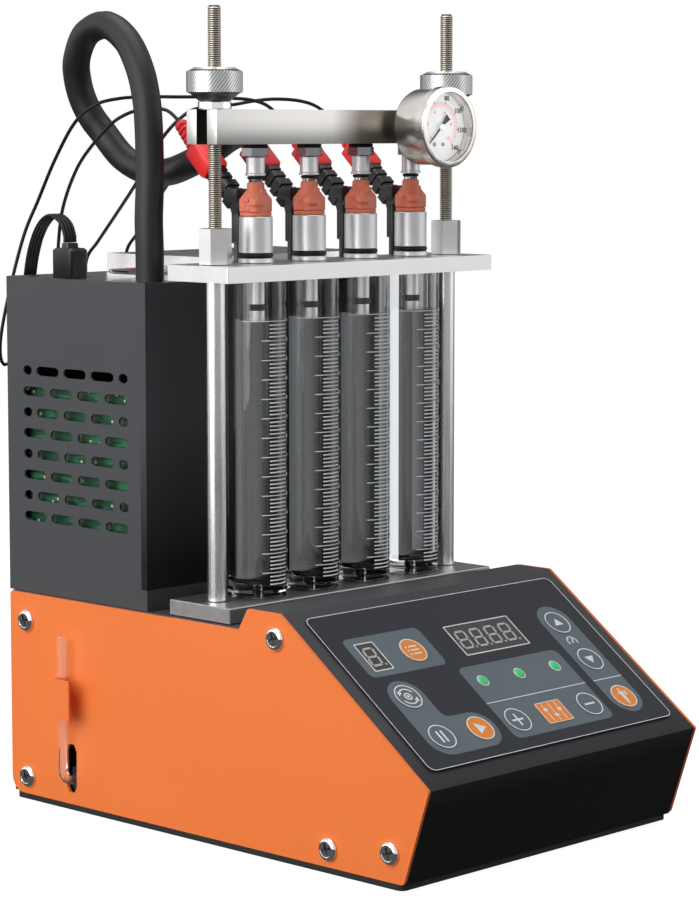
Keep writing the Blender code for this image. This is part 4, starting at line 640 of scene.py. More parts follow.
# cords
hoseRoute = {
    "diameter": 17.1, "points": [
        (-0.1045, 0.2416, 0.3307), (-0.1045, 0.2416, 0.3480), (-0.1038, 0.2430, 0.3674),
        (-0.1020, 0.2440, 0.3865), (-0.1001, 0.2460, 0.4055), (-0.0989, 0.2480, 0.4239),
        (-0.0977, 0.2510, 0.4388), (-0.0954, 0.2590, 0.4568), (-0.0925, 0.2740, 0.4745),
        (-0.0911, 0.2940, 0.4845), (-0.0912, 0.3130, 0.4795), (-0.0896, 0.3240, 0.4645),
        (-0.0860, 0.3275, 0.4516), (-0.0821, 0.3270, 0.4393), (-0.0787, 0.3230, 0.4288),
        (-0.0757, 0.3160, 0.4196), (-0.0737, 0.3000, 0.4043), (-0.0713, 0.2830, 0.3966),
        (-0.0673, 0.2680, 0.3952), (-0.0615, 0.2570, 0.3990), (-0.0525, 0.2455, 0.4070),
        (-0.0470, 0.2330, 0.4160), (-0.0450, 0.2200, 0.4210), (-0.0450, 0.2047, 0.4210)]}
cableRoutes = {
    "diameter": 2.2, "plug": (-0.1094, 0.0026), "slots": [1, 3, 0, 2],
    "arch": [
        (0.0000, 0.3090, 0.3524), (0.0000, 0.3090, 0.3560), (0.0018, 0.3150, 0.3640),
        (0.0042, 0.3270, 0.3685), (0.0070, 0.3390, 0.3655), (0.0098, 0.3500, 0.3570),
        (0.0124, 0.3590, 0.3440), (0.0140, 0.3645, 0.3290), (0.0140, 0.3665, 0.3120)],
    "tails": [
        [(-0.0955, 0.3705, 0.2900), (-0.0920, 0.3720, 0.2740), (-0.0840, 0.3725, 0.2660),
         (-0.0750, 0.3725, 0.2740), (-0.0705, 0.3715, 0.2900), (-0.0690, 0.3690, 0.3200),
         (-0.0705, 0.3660, 0.3480), (-0.0745, 0.3560, 0.3730), (-0.0880, 0.3260, 0.3980),
         (-0.0965, 0.2980, 0.4150), (-0.0895, 0.2900, 0.4260), (-0.0815, 0.2820, 0.4320),
         (-0.0740, 0.2740, 0.4335), (-0.0690, 0.2650, 0.4330)],
        [(-0.0890, 0.3645, 0.2860), (-0.0800, 0.3645, 0.2560), (-0.0550, 0.3650, 0.2440),
         (-0.0310, 0.3655, 0.2560), (-0.0190, 0.3660, 0.2860), (-0.0150, 0.3660, 0.3180),
         (-0.0142, 0.3645, 0.3420), (-0.0162, 0.3520, 0.3540), (-0.0201, 0.3350, 0.3680),
         (-0.0262, 0.3140, 0.3838), (-0.0275, 0.3000, 0.3950), (-0.0255, 0.2870, 0.4075),
         (-0.0235, 0.2740, 0.4200), (-0.0226, 0.2640, 0.4315)],
        [(-0.1000, 0.3735, 0.2880), (-0.1020, 0.3755, 0.2770), (-0.1070, 0.3760, 0.2730),
         (-0.1110, 0.3755, 0.2790), (-0.1110, 0.3740, 0.2950), (-0.1060, 0.3700, 0.3250),
         (-0.0990, 0.3650, 0.3560), (-0.0958, 0.3550, 0.3772), (-0.0963, 0.3380, 0.4023),
         (-0.0972, 0.3180, 0.4250), (-0.0935, 0.3030, 0.4361), (-0.0824, 0.2920, 0.4402),
         (-0.0663, 0.2830, 0.4412), (-0.0489, 0.2760, 0.4412), (-0.0323, 0.2700, 0.4412),
         (-0.0177, 0.2620, 0.4405), (-0.0048, 0.2575, 0.4395), (0.0090, 0.2570, 0.4360)],
        [(-0.0910, 0.3675, 0.2880), (-0.0850, 0.3685, 0.2680), (-0.0690, 0.3690, 0.2560),
         (-0.0540, 0.3690, 0.2680), (-0.0480, 0.3690, 0.2900), (-0.0460, 0.3690, 0.3160),
         (-0.0466, 0.3665, 0.3380), (-0.0495, 0.3520, 0.3500), (-0.0613, 0.3220, 0.3671),
         (-0.0781, 0.2850, 0.3861), (-0.0850, 0.2690, 0.3960), (-0.0700, 0.2660, 0.4176),
         (-0.0497, 0.2680, 0.4310), (-0.0323, 0.2705, 0.4350), (-0.0068, 0.2725, 0.4365),
         (0.0030, 0.2620, 0.4390), (0.0203, 0.2605, 0.4402), (0.0400, 0.2595, 0.4392),
         (0.0550, 0.2585, 0.4355)]]}
bootLine = {"start": (0.2040, 0.3780), "tilt": 43.2, "body": 26.2, "boot": 22.5, "neck": 20.0}
stations = (-67.5, -22.5, 22.5, 67.5)
stationPlaces = [(x, columnLine, 0) for x in stations]


def smoothRoute(route, count):
    # even points on a smooth curve, straight in its first and last stretch
    fine = []
    last = len(route) - 1
    for i in range(1, last - 1):
        around = [Vector(route[j]) for j in (i - 1, i, i + 1, i + 2)]
        for step in range(24):
            t = step / 24
            shares = (-t + 2 * t**2 - t**3, 2 - 5 * t**2 + 3 * t**3, t + 4 * t**2 - 3 * t**3, -t**2 + t**3)
            fine.append(sum((p * (w / 2) for p, w in zip(around, shares)), Vector()))
    fine.append(Vector(route[-2]))
    runs = [0.0]
    for first, second in zip(fine, fine[1:]):
        runs.append(runs[-1] + (second - first).length)
    even = []
    index = 0
    for step in range(count):
        target = runs[-1] * step / (count - 1)
        while index < len(fine) - 2 and runs[index + 1] < target:
            index += 1
        share = (target - runs[index]) / (runs[index + 1] - runs[index])
        even.append(fine[index].lerp(fine[index + 1], share))
    shift = Vector((cabinetCentre[0], cabinetCentre[1], 0))
    return [p + shift for p in [Vector(route[0])] + even + [Vector(route[-1])]]


def cordTube(points, diameter, sides):
    curve = bpy.data.curves.new("cord", "CURVE")
    curve.dimensions = "3D"
    curve.bevel_depth = diameter * mm / 2
    curve.bevel_resolution = sides
    curve.use_fill_caps = True
    addLine(curve, points)
    meshFrom(curve)
    return cleaned(0.00001)


def routeLength(points):
    return sum((b - a).length for a, b in zip(points, points[1:]))


def bootPoint(station, along):
    tilt = math.radians(bootLine["tilt"])
    y, z = bootLine["start"]
    return (station * mm, y + along * mm * math.cos(tilt), z + along * mm * math.sin(tilt))


def layCords():
    points = smoothRoute(hoseRoute["points"], 120)
    hose = cordTube(points, hoseRoute["diameter"], 6)
    choose(hose)
    hose.name = "hoseTube"
    hose.data.name = "hoseTube"
    hose.data.materials.clear()
    hose.data.materials.append(finishes["hoseRubber"])
    bpy.ops.object.shade_smooth_by_angle(angle=math.radians(50))
    spot(-86, 245, 420)
    spot(-50, 245, 420)
    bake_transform(hose)
    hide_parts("hose")
    routeLength(points)
    end = bootLine["body"] + bootLine["boot"] + bootLine["neck"] + 0.3
    for number, station in enumerate(stations):
        slot = cableRoutes["slots"][number] - 1.5
        shift = cableRoutes["plug"][0] + slot * cableRoutes["plug"][1]
        route = [(x + shift, y, z) for x, y, z in cableRoutes["arch"]] + cableRoutes["tails"][number]
        route += [bootPoint(station, end + 2.2), bootPoint(station, end)]
        points = smoothRoute(route, 150)
        cable = cordTube(points, cableRoutes["diameter"], 3)
        settle(cable, f"pulseLead{number + 1}", "cabinet", "cableRubber", 60)
        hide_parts(f"pulse_cable_{number + 1}")
        routeLength(points)


layCords()
print("cords laid")


# finishes of the solids that stay
dress("orangePaint", "side_plate_left", "side_plate_right", "drain_clip")
dress("sheetBlack", "chassis_shell", "base_plate", "rear_housing")
dress("panelFilm", "panel_label")
dress("windowBlack", "display_window")
dress("footRubber", "foot_1", "foot_2", "foot_3", "foot_4")
dress("plateSilver", "upper_plate")
dress("deckSilver", "lower_plate")
dress("stainless", "bath_basin", "bath_lid")
dress("chrome", "lid_handle")
dress("boardGreen", "circuit_board")
dress("clearTube", "drain_tube")
dress("keyOrange", "key_program", "key_injector", "key_start", "key_adjust")
dress("zoneInk", "key_up", "key_down", "key_mode", "key_pause", "key_plus", "key_minus")
print("solids dressed")


def movedTo(x, y, z):
    return Matrix.Translation(spot(x, y, z))


def rowOf(piece, name, body, finish, shifts=stationPlaces, smooth=35):
    # the same piece at several stations, each copy with its own mesh
    bpy.context.view_layer.update()
    twins = [piece]
    for shift in shifts[1:]:
        twin = newObject(name, piece.data.copy())
        twin.matrix_world = piece.matrix_world.copy()
        twins.append(twin)
    for number, (twin, shift) in enumerate(zip(twins, shifts), start=1):
        settle(twin, f"{name}{number}", body, finish, smooth, movedTo(*shift))
    return twins


def turnedTo(direction):
    # turns a piece's own up to a direction
    return Vector(direction).to_track_quat("Z", "Y").to_matrix().to_4x4()


def hexRings(across, low, high, chamfer):
    # hexagon with its corners turned off at both ends
    radius = across / 2 / math.cos(math.pi / 6)
    rings = [(radius - chamfer, low), (radius, low + chamfer * 0.5), (radius, high - chamfer * 0.5),
             (radius - chamfer, high)]
    return lathe(rings, 6)


# posts, hexagons and threaded rods
columnShape = {"postRadius": 5.7, "postLow": 143.1, "postHigh": 332.4, "hexAcross": 17.0, "hexLow": 342.5,
               "hexHigh": 363.7, "rodRadius": 4.0, "core": 3.36, "pitch": 1.25, "rodTop": 493.4, "sides": 28}
# each pitch rises by these shares: flank, crest, flank
threadShares = (0.45, 0.2, 0.45)


def threadedRod(low, high):
    # one pitch is turned, then arrayed up the rod
    shape = columnShape
    core, crest, pitch = shape["core"], shape["rodRadius"], shape["pitch"]
    clearSelection()
    bpy.ops.mesh.primitive_circle_add(vertices=shape["sides"], radius=core * mm, fill_type="NOTHING",
                                      location=(0, 0, low * mm))
    piece = bpy.context.object
    bpy.ops.object.mode_set(mode="EDIT")
    height = low
    for scale, share in zip((crest / core, 1.0, core / crest), threadShares):
        height += share * pitch / 1.1
        bpy.ops.mesh.extrude_region_move(TRANSFORM_OT_translate={"value": (0, 0, share * pitch / 1.1 * mm)})
        if scale != 1.0:
            bpy.ops.transform.resize(value=(scale, scale, 1), center_override=(0, 0, height * mm))
    bpy.ops.object.mode_set(mode="OBJECT")
    turns = piece.modifiers.new("turns", "ARRAY")
    turns.use_relative_offset = False
    turns.use_constant_offset = True
    turns.constant_offset_displace = (0, 0, pitch * mm)
    turns.count = int((high - 1.0 - low) / pitch)
    turns.use_merge_vertices = True
    turns.merge_threshold = 0.00002
    top = low + turns.count * pitch
    bpy.ops.object.modifier_apply(modifier="turns")
    bpy.ops.object.mode_set(mode="EDIT")
    bpy.ops.mesh.select_all(action="DESELECT")
    bpy.ops.mesh.select_non_manifold()
    bpy.ops.mesh.fill_holes(sides=0)
    cleaned()
    end = lathe([(core - 0.05, top - 1), (core - 0.05, high - 0.5), (core - 0.6, high)], shape["sides"])
    return joined([piece, end])


def makeColumns():
    shape = columnShape
    shifts = [(x, columnLine, 0) for x in (-columnX, columnX)]
    post = lathe(chamfered(shape["postRadius"], shape["postLow"], shape["postHigh"], 0.4), 48)
    posts = rowOf(post, "post", "cabinet", "postSilver", shifts)
    hexagon = hexRings(shape["hexAcross"], shape["hexLow"], shape["hexHigh"], 0.35)
    rowOf(hexagon, "postHex", "cabinet", "plateSilver", shifts, 25)
    rod = threadedRod(shape["postHigh"], shape["rodTop"])
    rowOf(rod, "threadedRod", "cabinet", "threadSteel", shifts, 20)
    for number, side in enumerate(("left", "right")):
        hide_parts(f"column_{side}")


makeColumns()
print("columns made")


# clamping nuts with a diamond knurl
nutShape = {"radius": 16.6, "bore": 4.3, "washer": 9.8, "neck": 9.4, "dome": 12.0,
            "z": (433.3, 437.5, 442.6, 455.6, 457.4), "teeth": 50, "depth": 0.75, "rows": 9}


def raisePoints(piece, low):
    # every other point of the knurled band is drawn outward
    shape = nutShape
    foot, head = shape["z"][2], shape["z"][3]
    rowStep = (head - foot - 1.0) / shape["rows"]
    choose(piece)
    bpy.ops.object.mode_set(mode="EDIT")
    bpy.ops.mesh.select_all(action="DESELECT")
    bpy.ops.object.mode_set(mode="OBJECT")
    for vertex in piece.data.vertices:
        x, y, z = vertex.co / mm
        row = round((z - foot - 0.5) / rowStep)
        turn = round(math.atan2(y, x) / math.tau * shape["teeth"] * 2)
        onKnurl = abs(math.hypot(x, y) - low) < 0.02 and abs(z - foot - 0.5 - row * rowStep) < 0.02
        vertex.select = onKnurl and (row + turn) % 2 == 0
    bpy.ops.object.mode_set(mode="EDIT")
    share = shape["radius"] / low
    bpy.ops.transform.resize(value=(share, share, 1), center_override=(0, 0, (foot + head) / 2 * mm))
    bpy.ops.object.mode_set(mode="OBJECT")


def makeNuts():
    shape = nutShape
    z0, z1, z2, z3, z4 = shape["z"]
    low = shape["radius"] - shape["depth"]
    rings = [(shape["neck"] - 0.4, z1 + 0.2), (shape["neck"], z1 + 0.6),
             (shape["radius"] - 2.6, z2 - 0.7), (low - 0.6, z2)]
    rings += [(low, z2 + 0.5 + (z3 - z2 - 1.0) * i / shape["rows"]) for i in range(shape["rows"] + 1)]
    rings += [(low - 0.6, z3), (shape["dome"] + 1.5, z3 + 0.9), (shape["dome"], z4)]
    nut = lathe(rings, shape["teeth"] * 2)
    washer = lathe(chamfered(shape["washer"], z0, z1, 0.3), 56)
    for piece in (nut, washer):
        drill(piece, shape["bore"], z0 - 2, z4 + 2)
    raisePoints(nut, low)
    for number, (x, side) in enumerate(((-columnX, "left"), (columnX, "right")), start=1):
        for part, name, finish, angle in ((nut, "knurledNut", "nutSteel", 8),
                                          (washer, "nutWasher", "chrome", 35)):
            twin = newObject(name, part.data.copy())
            settle(twin, f"{name}{number}", f"nut_{side}", finish, angle, movedTo(x, columnLine, 0))
            if part is nut:
                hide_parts(f"knurled_nut_{side}")
    bpy.data.objects.remove(nut)
    bpy.data.objects.remove(washer)


makeNuts()
print("nuts made")


# pressure rail, its four adapters and the hose port
railShape = {"length": 222.0, "depth": 25.6, "low": 412.7, "high": 433.0, "slot": 9.0, "slotEnd": 94.0,
             "hexAcross": 14.5, "hex": (405.4, 410.7), "seal": 7.5, "stem": 5.6, "lip": 6.2,
             "foot": 394.1, "bore": 3.6, "port": (-45.0, 421.0, 7.5, 3.0)}


def darkenFaces(piece, isInside):
    # faces that the test picks take the dark finish, painted shade
    piece.data.materials.append(finishes["slotDark"])
    for face in piece.data.polygons:
        if isInside(face):
            face.material_index = 1


def makeRail():
    shape = railShape
    half, deep, slot = shape["length"] / 2, shape["depth"] / 2, shape["slot"] / 2
    outline = [(half, -deep), (half, -slot)]
    outline += [(shape["slotEnd"] - slot * math.sin(math.pi * i / 12), -slot * math.cos(math.pi * i / 12))
                for i in range(13)]
    outline += [(half, slot), (half, deep)]
    outline += [(-x, -y) for x, y in outline]
    bar_ = flat([outline], shape["high"] - shape["low"], 0.45)
    settle(bar_, "railBar", "rail_carriage", "railSilver", 35,
           movedTo(0, columnLine, (shape["low"] + shape["high"]) / 2))
    middle = spot(0, columnLine, 0)
    # the walls of both slots, given painted shade and a painted dark reflection
    darkenFaces(bar_, lambda face: (abs(face.center.y - middle.y) < (slot + 0.1) * mm
                                    and abs(face.center.x - middle.x) < (half - 0.6) * mm
                                    and abs(face.normal.z) < 0.5))
    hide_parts("rail")
    hexLow, hexHigh = shape["hex"]
    seal = lathe([(shape["seal"] - 0.6, hexHigh - 0.1), (shape["seal"], hexHigh + 0.5),
                  (shape["seal"], shape["low"] - 0.5), (shape["seal"] - 0.6, shape["low"])], 40)
    rowOf(seal, "adapterSeal", "rail_carriage", "sealRubber", smooth=60)
    rowOf(hexRings(shape["hexAcross"], hexLow, hexHigh, 0.6), "adapterHex", "rail_carriage", "hexSteel",
          smooth=25)
    foot, stem, lip = shape["foot"], shape["stem"], shape["lip"]
    barrel = lathe([(lip - 0.3, foot), (lip, foot + 0.3), (lip, foot + 1.1), (lip - 0.3, foot + 1.4),
                    (stem, foot + 1.5), (stem, hexLow - 0.6), (stem - 0.5, hexLow - 0.1),
                    (stem - 0.5, hexLow + 0.2)], 48)
    drill(barrel, shape["bore"], foot - 1, foot + 12)
    rowOf(barrel, "adapterStem", "rail_carriage", "turnedSilver")
    x, z, radius, length = shape["port"]
    port = lathe(chamfered(radius, -1, length, 0.4), 6)
    settle(port, "hosePort", "rail_carriage", "hexSteel", 25,
           movedTo(x, columnLine + deep, z) @ turnedTo((0, 1, 0)))


makeRail()
print("rail made")


# injector cups standing in the upper plate, with their spray spigots
cupShape = {"foot": 342.5, "top": 370.0, "outer": 10.1, "flange": 10.5, "ring": 9.5, "wall": 1.6,
            "spigot": 5.2, "spigotLow": 307.3, "seal": 6.0, "sealZ": (314.5, 317.7), "bore": 3.0}


def roundRing(middle, thick, z, steps=48):
    # a rubber ring: a small circle spun round the upright axis
    clearSelection()
    bpy.ops.mesh.primitive_circle_add(vertices=12, radius=thick * mm, fill_type="NOTHING",
                                      location=(middle * mm, 0, z * mm), rotation=(math.pi / 2, 0, 0))
    bpy.ops.object.transform_apply(location=True, rotation=True, scale=True)
    bpy.ops.object.mode_set(mode="EDIT")
    bpy.ops.mesh.select_all(action="SELECT")
    bpy.ops.mesh.spin(steps=steps, angle=math.tau, center=(0, 0, 0), axis=(0, 0, 1))
    return cleaned(0.000005)


def makeCups():
    shape = cupShape
    foot, top, outer, flange, ring = (shape[key] for key in ("foot", "top", "outer", "flange", "ring"))
    spigot, spigotLow, seal = shape["spigot"], shape["spigotLow"], shape["seal"]
    cup = lathe([(spigot - 0.4, spigotLow), (spigot, spigotLow + 0.4), (spigot, foot),
                 (flange - 0.4, foot), (flange, foot + 0.3), (flange, foot + 2.5),
                 (flange - 0.4, foot + 2.9), (ring - 0.6, foot + 3.0), (ring - 0.6, foot + 5.9),
                 (outer - 0.3, foot + 5.9), (outer, foot + 6.2), (outer, top - 0.4), (outer - 0.4, top)], 64)
    drill(cup, shape["bore"], spigotLow - 1, foot + 7)
    drill(cup, outer - shape["wall"], foot + 6.5, top + 1)
    cups = rowOf(cup, "injectorCup", "cabinet", "turnedSilver")
    for number, piece in enumerate(cups, start=1):
        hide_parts(f"injector_cup_{number}")
    rowOf(roundRing(ring - 0.45, 1.50, foot + 4.45), "cupRing", "cabinet", "sealRubber", smooth=80)
    low, high = shape["sealZ"]
    band = lathe([(spigot - 0.3, low - 0.4), (seal - 0.4, low - 0.3), (seal, low + 0.3), (seal, high - 0.3),
                  (seal - 0.4, high + 0.3), (spigot - 0.3, high + 0.4)], 48)
    rowOf(band, "spigotRing", "cabinet", "sealRubber", smooth=30)


makeCups()
print("cups made")


def squareRing(halfX, halfY, corner, z):
    # sixteen points of a square with rounded corners
    points = []
    for quarter, (sx, sy) in enumerate(((1, 1), (-1, 1), (-1, -1), (1, -1))):
        for i in range(4):
            angle = math.radians(90 * quarter + 90 * i / 3)
            points.append(Vector((sx * (halfX - corner) + corner * math.cos(angle),
                                  sy * (halfY - corner) + corner * math.sin(angle), z)) * mm)
    return points


def loftAlong(sections):
    # (distance, half width, half depth, corner) squares, extruded one from the next
    clearSelection()
    start = sections[0][0]
    bpy.ops.mesh.primitive_circle_add(vertices=16, radius=1, fill_type="NGON", location=(0, 0, start * mm))
    piece = bpy.context.object
    bpy.ops.object.transform_apply(location=True, rotation=True, scale=True)
    rings = [squareRing(halfX, halfY, corner, z) for z, halfX, halfY, corner in sections]
    step = Vector((0, 0, 0.0001))
    order = sorted(piece.data.vertices, key=lambda v: math.atan2(v.co.y, v.co.x) % math.tau)
    for vertex, place in zip(order, rings[0]):
        vertex.co = place
    for previous, following in zip(rings, rings[1:]):
        bpy.ops.object.mode_set(mode="EDIT")
        bpy.ops.mesh.extrude_region_move(TRANSFORM_OT_translate={"value": step})
        bpy.ops.object.mode_set(mode="OBJECT")
        for vertex in [v for v in piece.data.vertices if v.select]:
            nearest = min(range(16), key=lambda i: (previous[i] + step - vertex.co).length)
            vertex.co = following[nearest]
    return cleaned()


# injectors: moulded body, metal tip, seal, side socket and ribbed stem
injectorShape = {
    "body": [(7.25, 359.3), (7.25, 370.3), (9.1, 370.3), (9.4, 370.6), (9.4, 372.2), (9.1, 372.5),
             (7.6, 372.6), (7.6, 380.0), (6.6, 383.2), (5.9, 384.6), (5.35, 385.4), (5.2, 389.5),
             (4.9, 390.0)],
    "tip": [(3.9, 389.6), (4.1, 389.9), (4.1, 391.6), (4.3, 391.9), (3.9, 392.0), (3.9, 393.8),
            (2.8, 394.0), (2.8, 400.4), (2.4, 400.8)],
    "seal": (4.15, 0.95, 392.9),
    "shoulder": [(372.7, 7.5, 7.5, 3.2), (373.0, 7.9, 7.9, 3.4), (380.2, 7.9, 7.9, 3.4),
                 (380.9, 7.5, 7.5, 3.3), (383.6, 5.9, 5.9, 3.0), (385.3, 4.9, 4.9, 2.6)],
    "lugs": [(17.6, 4.6, 2.6, 0.5, (0, 0, 379.4)), (4.4, 3.0, 7.6, 0.4, (0.6, -5.0, 382.4)),
             (17.0, 5.4, 1.6, 0.4, (0, 0, 374.0))],
    "slit": (13.5, 8.0, 1.3, 0.1, (-7.8, -4.6, 376.2)), "slitTurn": -45,
    "stemY": 204.0, "socket": (8.6, 10.0, 6.4, 0.8, (0, 9.6, 377.6)), "stem": (3.6, 27.6, 367.4),
    "rib": (0.95, 5.7, 17.6, 362.6, 2.1),
    "bracket": [(370.0, 2.6, 2.6, 0.5), (373.6, 3.3, 3.3, 0.8), (378.6, 5.3, 4.8, 0.9),
                (381.6, 6.4, 5.7, 1.0), (385.6, 6.5, 5.8, 1.0), (386.1, 6.1, 5.4, 1.0)],
    "peg": [(2.0, 342.5), (2.4, 342.9), (2.4, 353.4), (3.4, 353.6), (3.4, 354.4), (3.0, 354.8)]}


def makeInjectors():
    shape = injectorShape
    bodies = rowOf(lathe(shape["body"], 48), "injectorBody", "cabinet", "salmon")
    for number, piece in enumerate(bodies, start=1):
        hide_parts(f"injector_{number}")
    rowOf(lathe(shape["tip"], 40), "injectorTip", "cabinet", "chrome")
    rowOf(roundRing(*shape["seal"], 40), "injectorSeal", "cabinet", "sealRubber", smooth=80)
    # shouldered housing with a slot across its near corner and small side lugs
    ears = loftAlong(shape["shoulder"])
    blade = box(*shape["slit"])
    blade.rotation_euler = (0, 0, math.radians(shape["slitTurn"]))
    cutAway(ears, blade)
    rowOf(joined([ears] + [box(*lug) for lug in shape["lugs"]]), "injectorEars", "cabinet", "salmon")
    stemY = shape["stemY"] - columnLine
    width, length, middle = shape["stem"]
    thin, wide, ribLength, ribMiddle, ribStep = shape["rib"]
    arm = [box(*shape["socket"]), box(width, width, length, 0.4, (0, stemY, middle))]
    arm += [box(thin, wide, ribLength, 0.2, (side * ribStep, stemY, ribMiddle)) for side in (-1, 0, 1)]
    arm += [box(wide, thin, ribLength, 0.2, (0, stemY + side * ribStep, ribMiddle)) for side in (-1, 0, 1)]
    rowOf(joined(arm), "injectorArm", "cabinet", "darkPlastic")
    bracket = loftAlong(shape["bracket"])
    bracket.location = Vector((0, stemY, 0)) * mm
    rowOf(bracket, "injectorBracket", "cabinet", "darkPlastic")
    peg = lathe(shape["peg"], 24)
    peg.location = Vector((0, stemY, 0)) * mm
    rowOf(peg, "injectorPeg", "cabinet", "darkPlastic")


makeInjectors()
print("injectors made")


# pulse connectors with red boots, leaning back to their leads
connectorShape = {
    "half": 5.5, "deep": 5.75,
    # from, to and share of the full size along the ribbed plug
    "ribs": ((0.9, 6.4, 1.0), (7.0, 9.2, 0.80), (9.6, 14.2, 0.98), (14.8, 16.6, 0.76), (17.0, 20.8, 0.92),
             (21.2, 22.4, 0.78)),
    "folds": 5, "foldStep": 3.7, "foldSize": 4.9, "foldShrink": 0.26}


def makeConnectors():
    shape = connectorShape
    end = bootLine["body"]
    half, deep = shape["half"], shape["deep"]
    lean = Matrix.Rotation(math.radians(bootLine["tilt"]) - math.pi / 2, 4, "X")
    y, z = bootLine["start"]
    shifts = [(x, y / mm, z / mm) for x in stations]
    plug = [(0.3, half - 0.3, deep - 0.3, 1.2)]
    for low, high, share in (*shape["ribs"], (22.8, end + 0.6, 0.92)):
        plug += [(low, half * share, deep * share, 1.4), (high, half * share, deep * share, 1.4)]
    place = end + bootLine["boot"]
    boot = [(end, 6.4, 5.6, 1.6), (end + 2.2, 8.0, 6.25, 2.2), (end + 20.3, 8.0, 6.25, 2.2),
            (place, 5.0, 4.9, 2.6)]
    for number in range(shape["folds"]):
        low = place + 0.4 + number * shape["foldStep"]
        size = shape["foldSize"] - number * shape["foldShrink"]
        boot += [(low, size - 0.9, size - 0.9, size * 0.55), (low + 1.2, size - 0.9, size - 0.9, size * 0.55),
                 (low + 1.5, size, size, size * 0.6), (low + 3.2, size, size, size * 0.6)]
    boot += [(place + bootLine["neck"], 3.3, 3.3, 2.2)]
    leaning = []
    for sections in (plug, boot):
        piece = loftAlong(sections)
        piece.matrix_world = lean @ piece.matrix_world
        leaning.append(applied(piece))
    rowOf(leaning[0], "leadPlug", "cabinet", "blackPlastic", shifts)
    boots = rowOf(leaning[1], "leadBoot", "cabinet", "redRubber", shifts, 40)
    for number, piece in enumerate(boots, start=1):
        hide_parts(f"pulse_connector_{number}")


makeConnectors()
print("connectors made")


# plug of the four leads on the housing top
collectorShape = {"place": (-109.4, 309, 0),
                  "body": [(330.7, 6.9, 8.7, 1.5), (331.2, 7.15, 9.0, 1.8), (347.6, 7.15, 9.0, 1.8),
                           (349.0, 5.9, 7.8, 1.8), (349.2, 4.6, 3.6, 1.6), (352.1, 4.4, 3.2, 1.6)]}


def makeLeadPlug():
    body = loftAlong(collectorShape["body"])
    settle(body, "leadCollector", "cabinet", "blackPlastic", 35, movedTo(*collectorShape["place"]))
    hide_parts("pulse_plug")


makeLeadPlug()
print("lead plug made")


# smoked measuring tubes with printed graduations
tubeShape = {"low": 143.1, "high": 332.4, "outer": 18.0, "inner": 14.0, "floor": 7.0, "bend": 6.0,
             "drain": 2.5, "first": 150.0, "last": 308.6, "step": 2.31, "major": 5}
# angles in degrees round the tube, where the graduations start and end and the figures stand
markAngles = {"top": -160, "major": -124, "minor": -108, "end": -62, "figure": -52}


def tubeMark(number, count, z):
    # one line of the scale, with its figure if it is a major one
    shape, angles = tubeShape, markAngles
    outer = shape["outer"]
    major = number % shape["major"] == 0
    start = angles["top" if number == 0 else "major"] if major else angles["minor"]
    band = arcBand(0, 0, outer + 0.02, outer + 0.08, start, angles["end"] - start, 20 if major else 12)
    mark = flat([band], 0.5 if major else 0.75)
    mark.location = (0, 0, z * mm)
    if not major or number == count:
        return [mark]
    figure = textMesh(str(10 * (count // shape["major"] - number // shape["major"] + 1)), 2.2, 0, 0)
    turn = math.radians(angles["figure"])
    reach = outer + 0.12
    place = Vector((reach * math.cos(turn), reach * math.sin(turn), z)) * mm
    figure.matrix_world = (Matrix.Translation(place) @ Matrix.Rotation(turn + math.pi / 2, 4, "Z")
                           @ Matrix.Rotation(math.pi / 2, 4, "X"))
    return [mark, figure]


def makeTubes():
    shape = tubeShape
    low, high, outer, inner = shape["low"], shape["high"], shape["outer"], shape["inner"]
    floor, bend = shape["floor"], shape["bend"]
    tube = lathe([(outer - 0.3, low), (outer, low + 0.3), (outer - 1.2, low + 1.5), (outer, low + 3),
                  (outer, high - 0.4), (outer - 0.4, high)], 96)
    bore = [((inner - bend) * 0.5, low + floor)]
    for step in range(7):
        angle = math.pi / 2 * step / 6
        bore.append((inner - bend + bend * math.sin(angle), low + floor + bend * (1 - math.cos(angle))))
    cutAway(tube, lathe(bore + [(inner, high + 1)], 96))
    drill(tube, shape["drain"], low - 1, low + floor + 1, 24)
    tubes = rowOf(tube, "measuringTube", "cabinet", "smoke", smooth=30)
    for number, piece in enumerate(tubes, start=1):
        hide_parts(f"tube_{number}")
    marks = []
    count = int((shape["last"] - shape["first"]) / shape["step"])
    for i in range(count + 1):
        marks += tubeMark(i, count, shape["last"] - i * shape["step"])
    rowOf(joined(marks), "tubeMarks", "cabinet", "markInk", smooth=0)


makeTubes()
print("tubes made")


# pressure gauge on the front of the rail
gaugeShape = {"x": 55.2, "z": 422.8, "front": 144.0, "outer": 24.75, "case": 23.25, "bezel": 7.5,
              "length": 26.8, "stem": 5.0, "stemLength": 4.7, "window": 21.4, "dial": 8.5,
              "zero": 225.0, "sweep": 270.0, "band": (11.4, 14.0),
              # count, every how many a long one, where they start, long end, short end, widths
              "ticks": (36, 5, 14.1, 15.5, 14.9, (0.5, 0.26)),
              "innerTicks": (29, 4, 13.9, 12.4, 13.1, (0.3, 0.3)),
              # count, step, size, radius, weight
              "figures": (8, 20, 3.0, 17.6, 0.10), "innerFigures": (6, 2, 2.0, 9.4, 0.05),
              "rivets": ((-4.3, 10.2), (2.5, 10.2)),
              "pointer": [(-8.2, -2.1), (-2.2, -0.55), (2, -0.5), (15.9, -0.16)]}


def gaugePiece(piece, name, finish, smooth=35, body="rail_carriage", back=0.0):
    # local up runs back into the gauge, so the piece is turned to face forward
    shape = gaugeShape
    piece.location.z = back * mm
    turn = Matrix(((1, 0, 0, 0), (0, 0, 1, 0), (0, -1, 0, 0), (0, 0, 0, 1)))
    return settle(piece, name, body, finish, smooth, movedTo(shape["x"], shape["front"], shape["z"]) @ turn)


def dialPoint(radius, angle):
    # angles run anticlockwise from the right; the dial's own y points down
    return (radius * math.cos(math.radians(angle)), -radius * math.sin(math.radians(angle)))


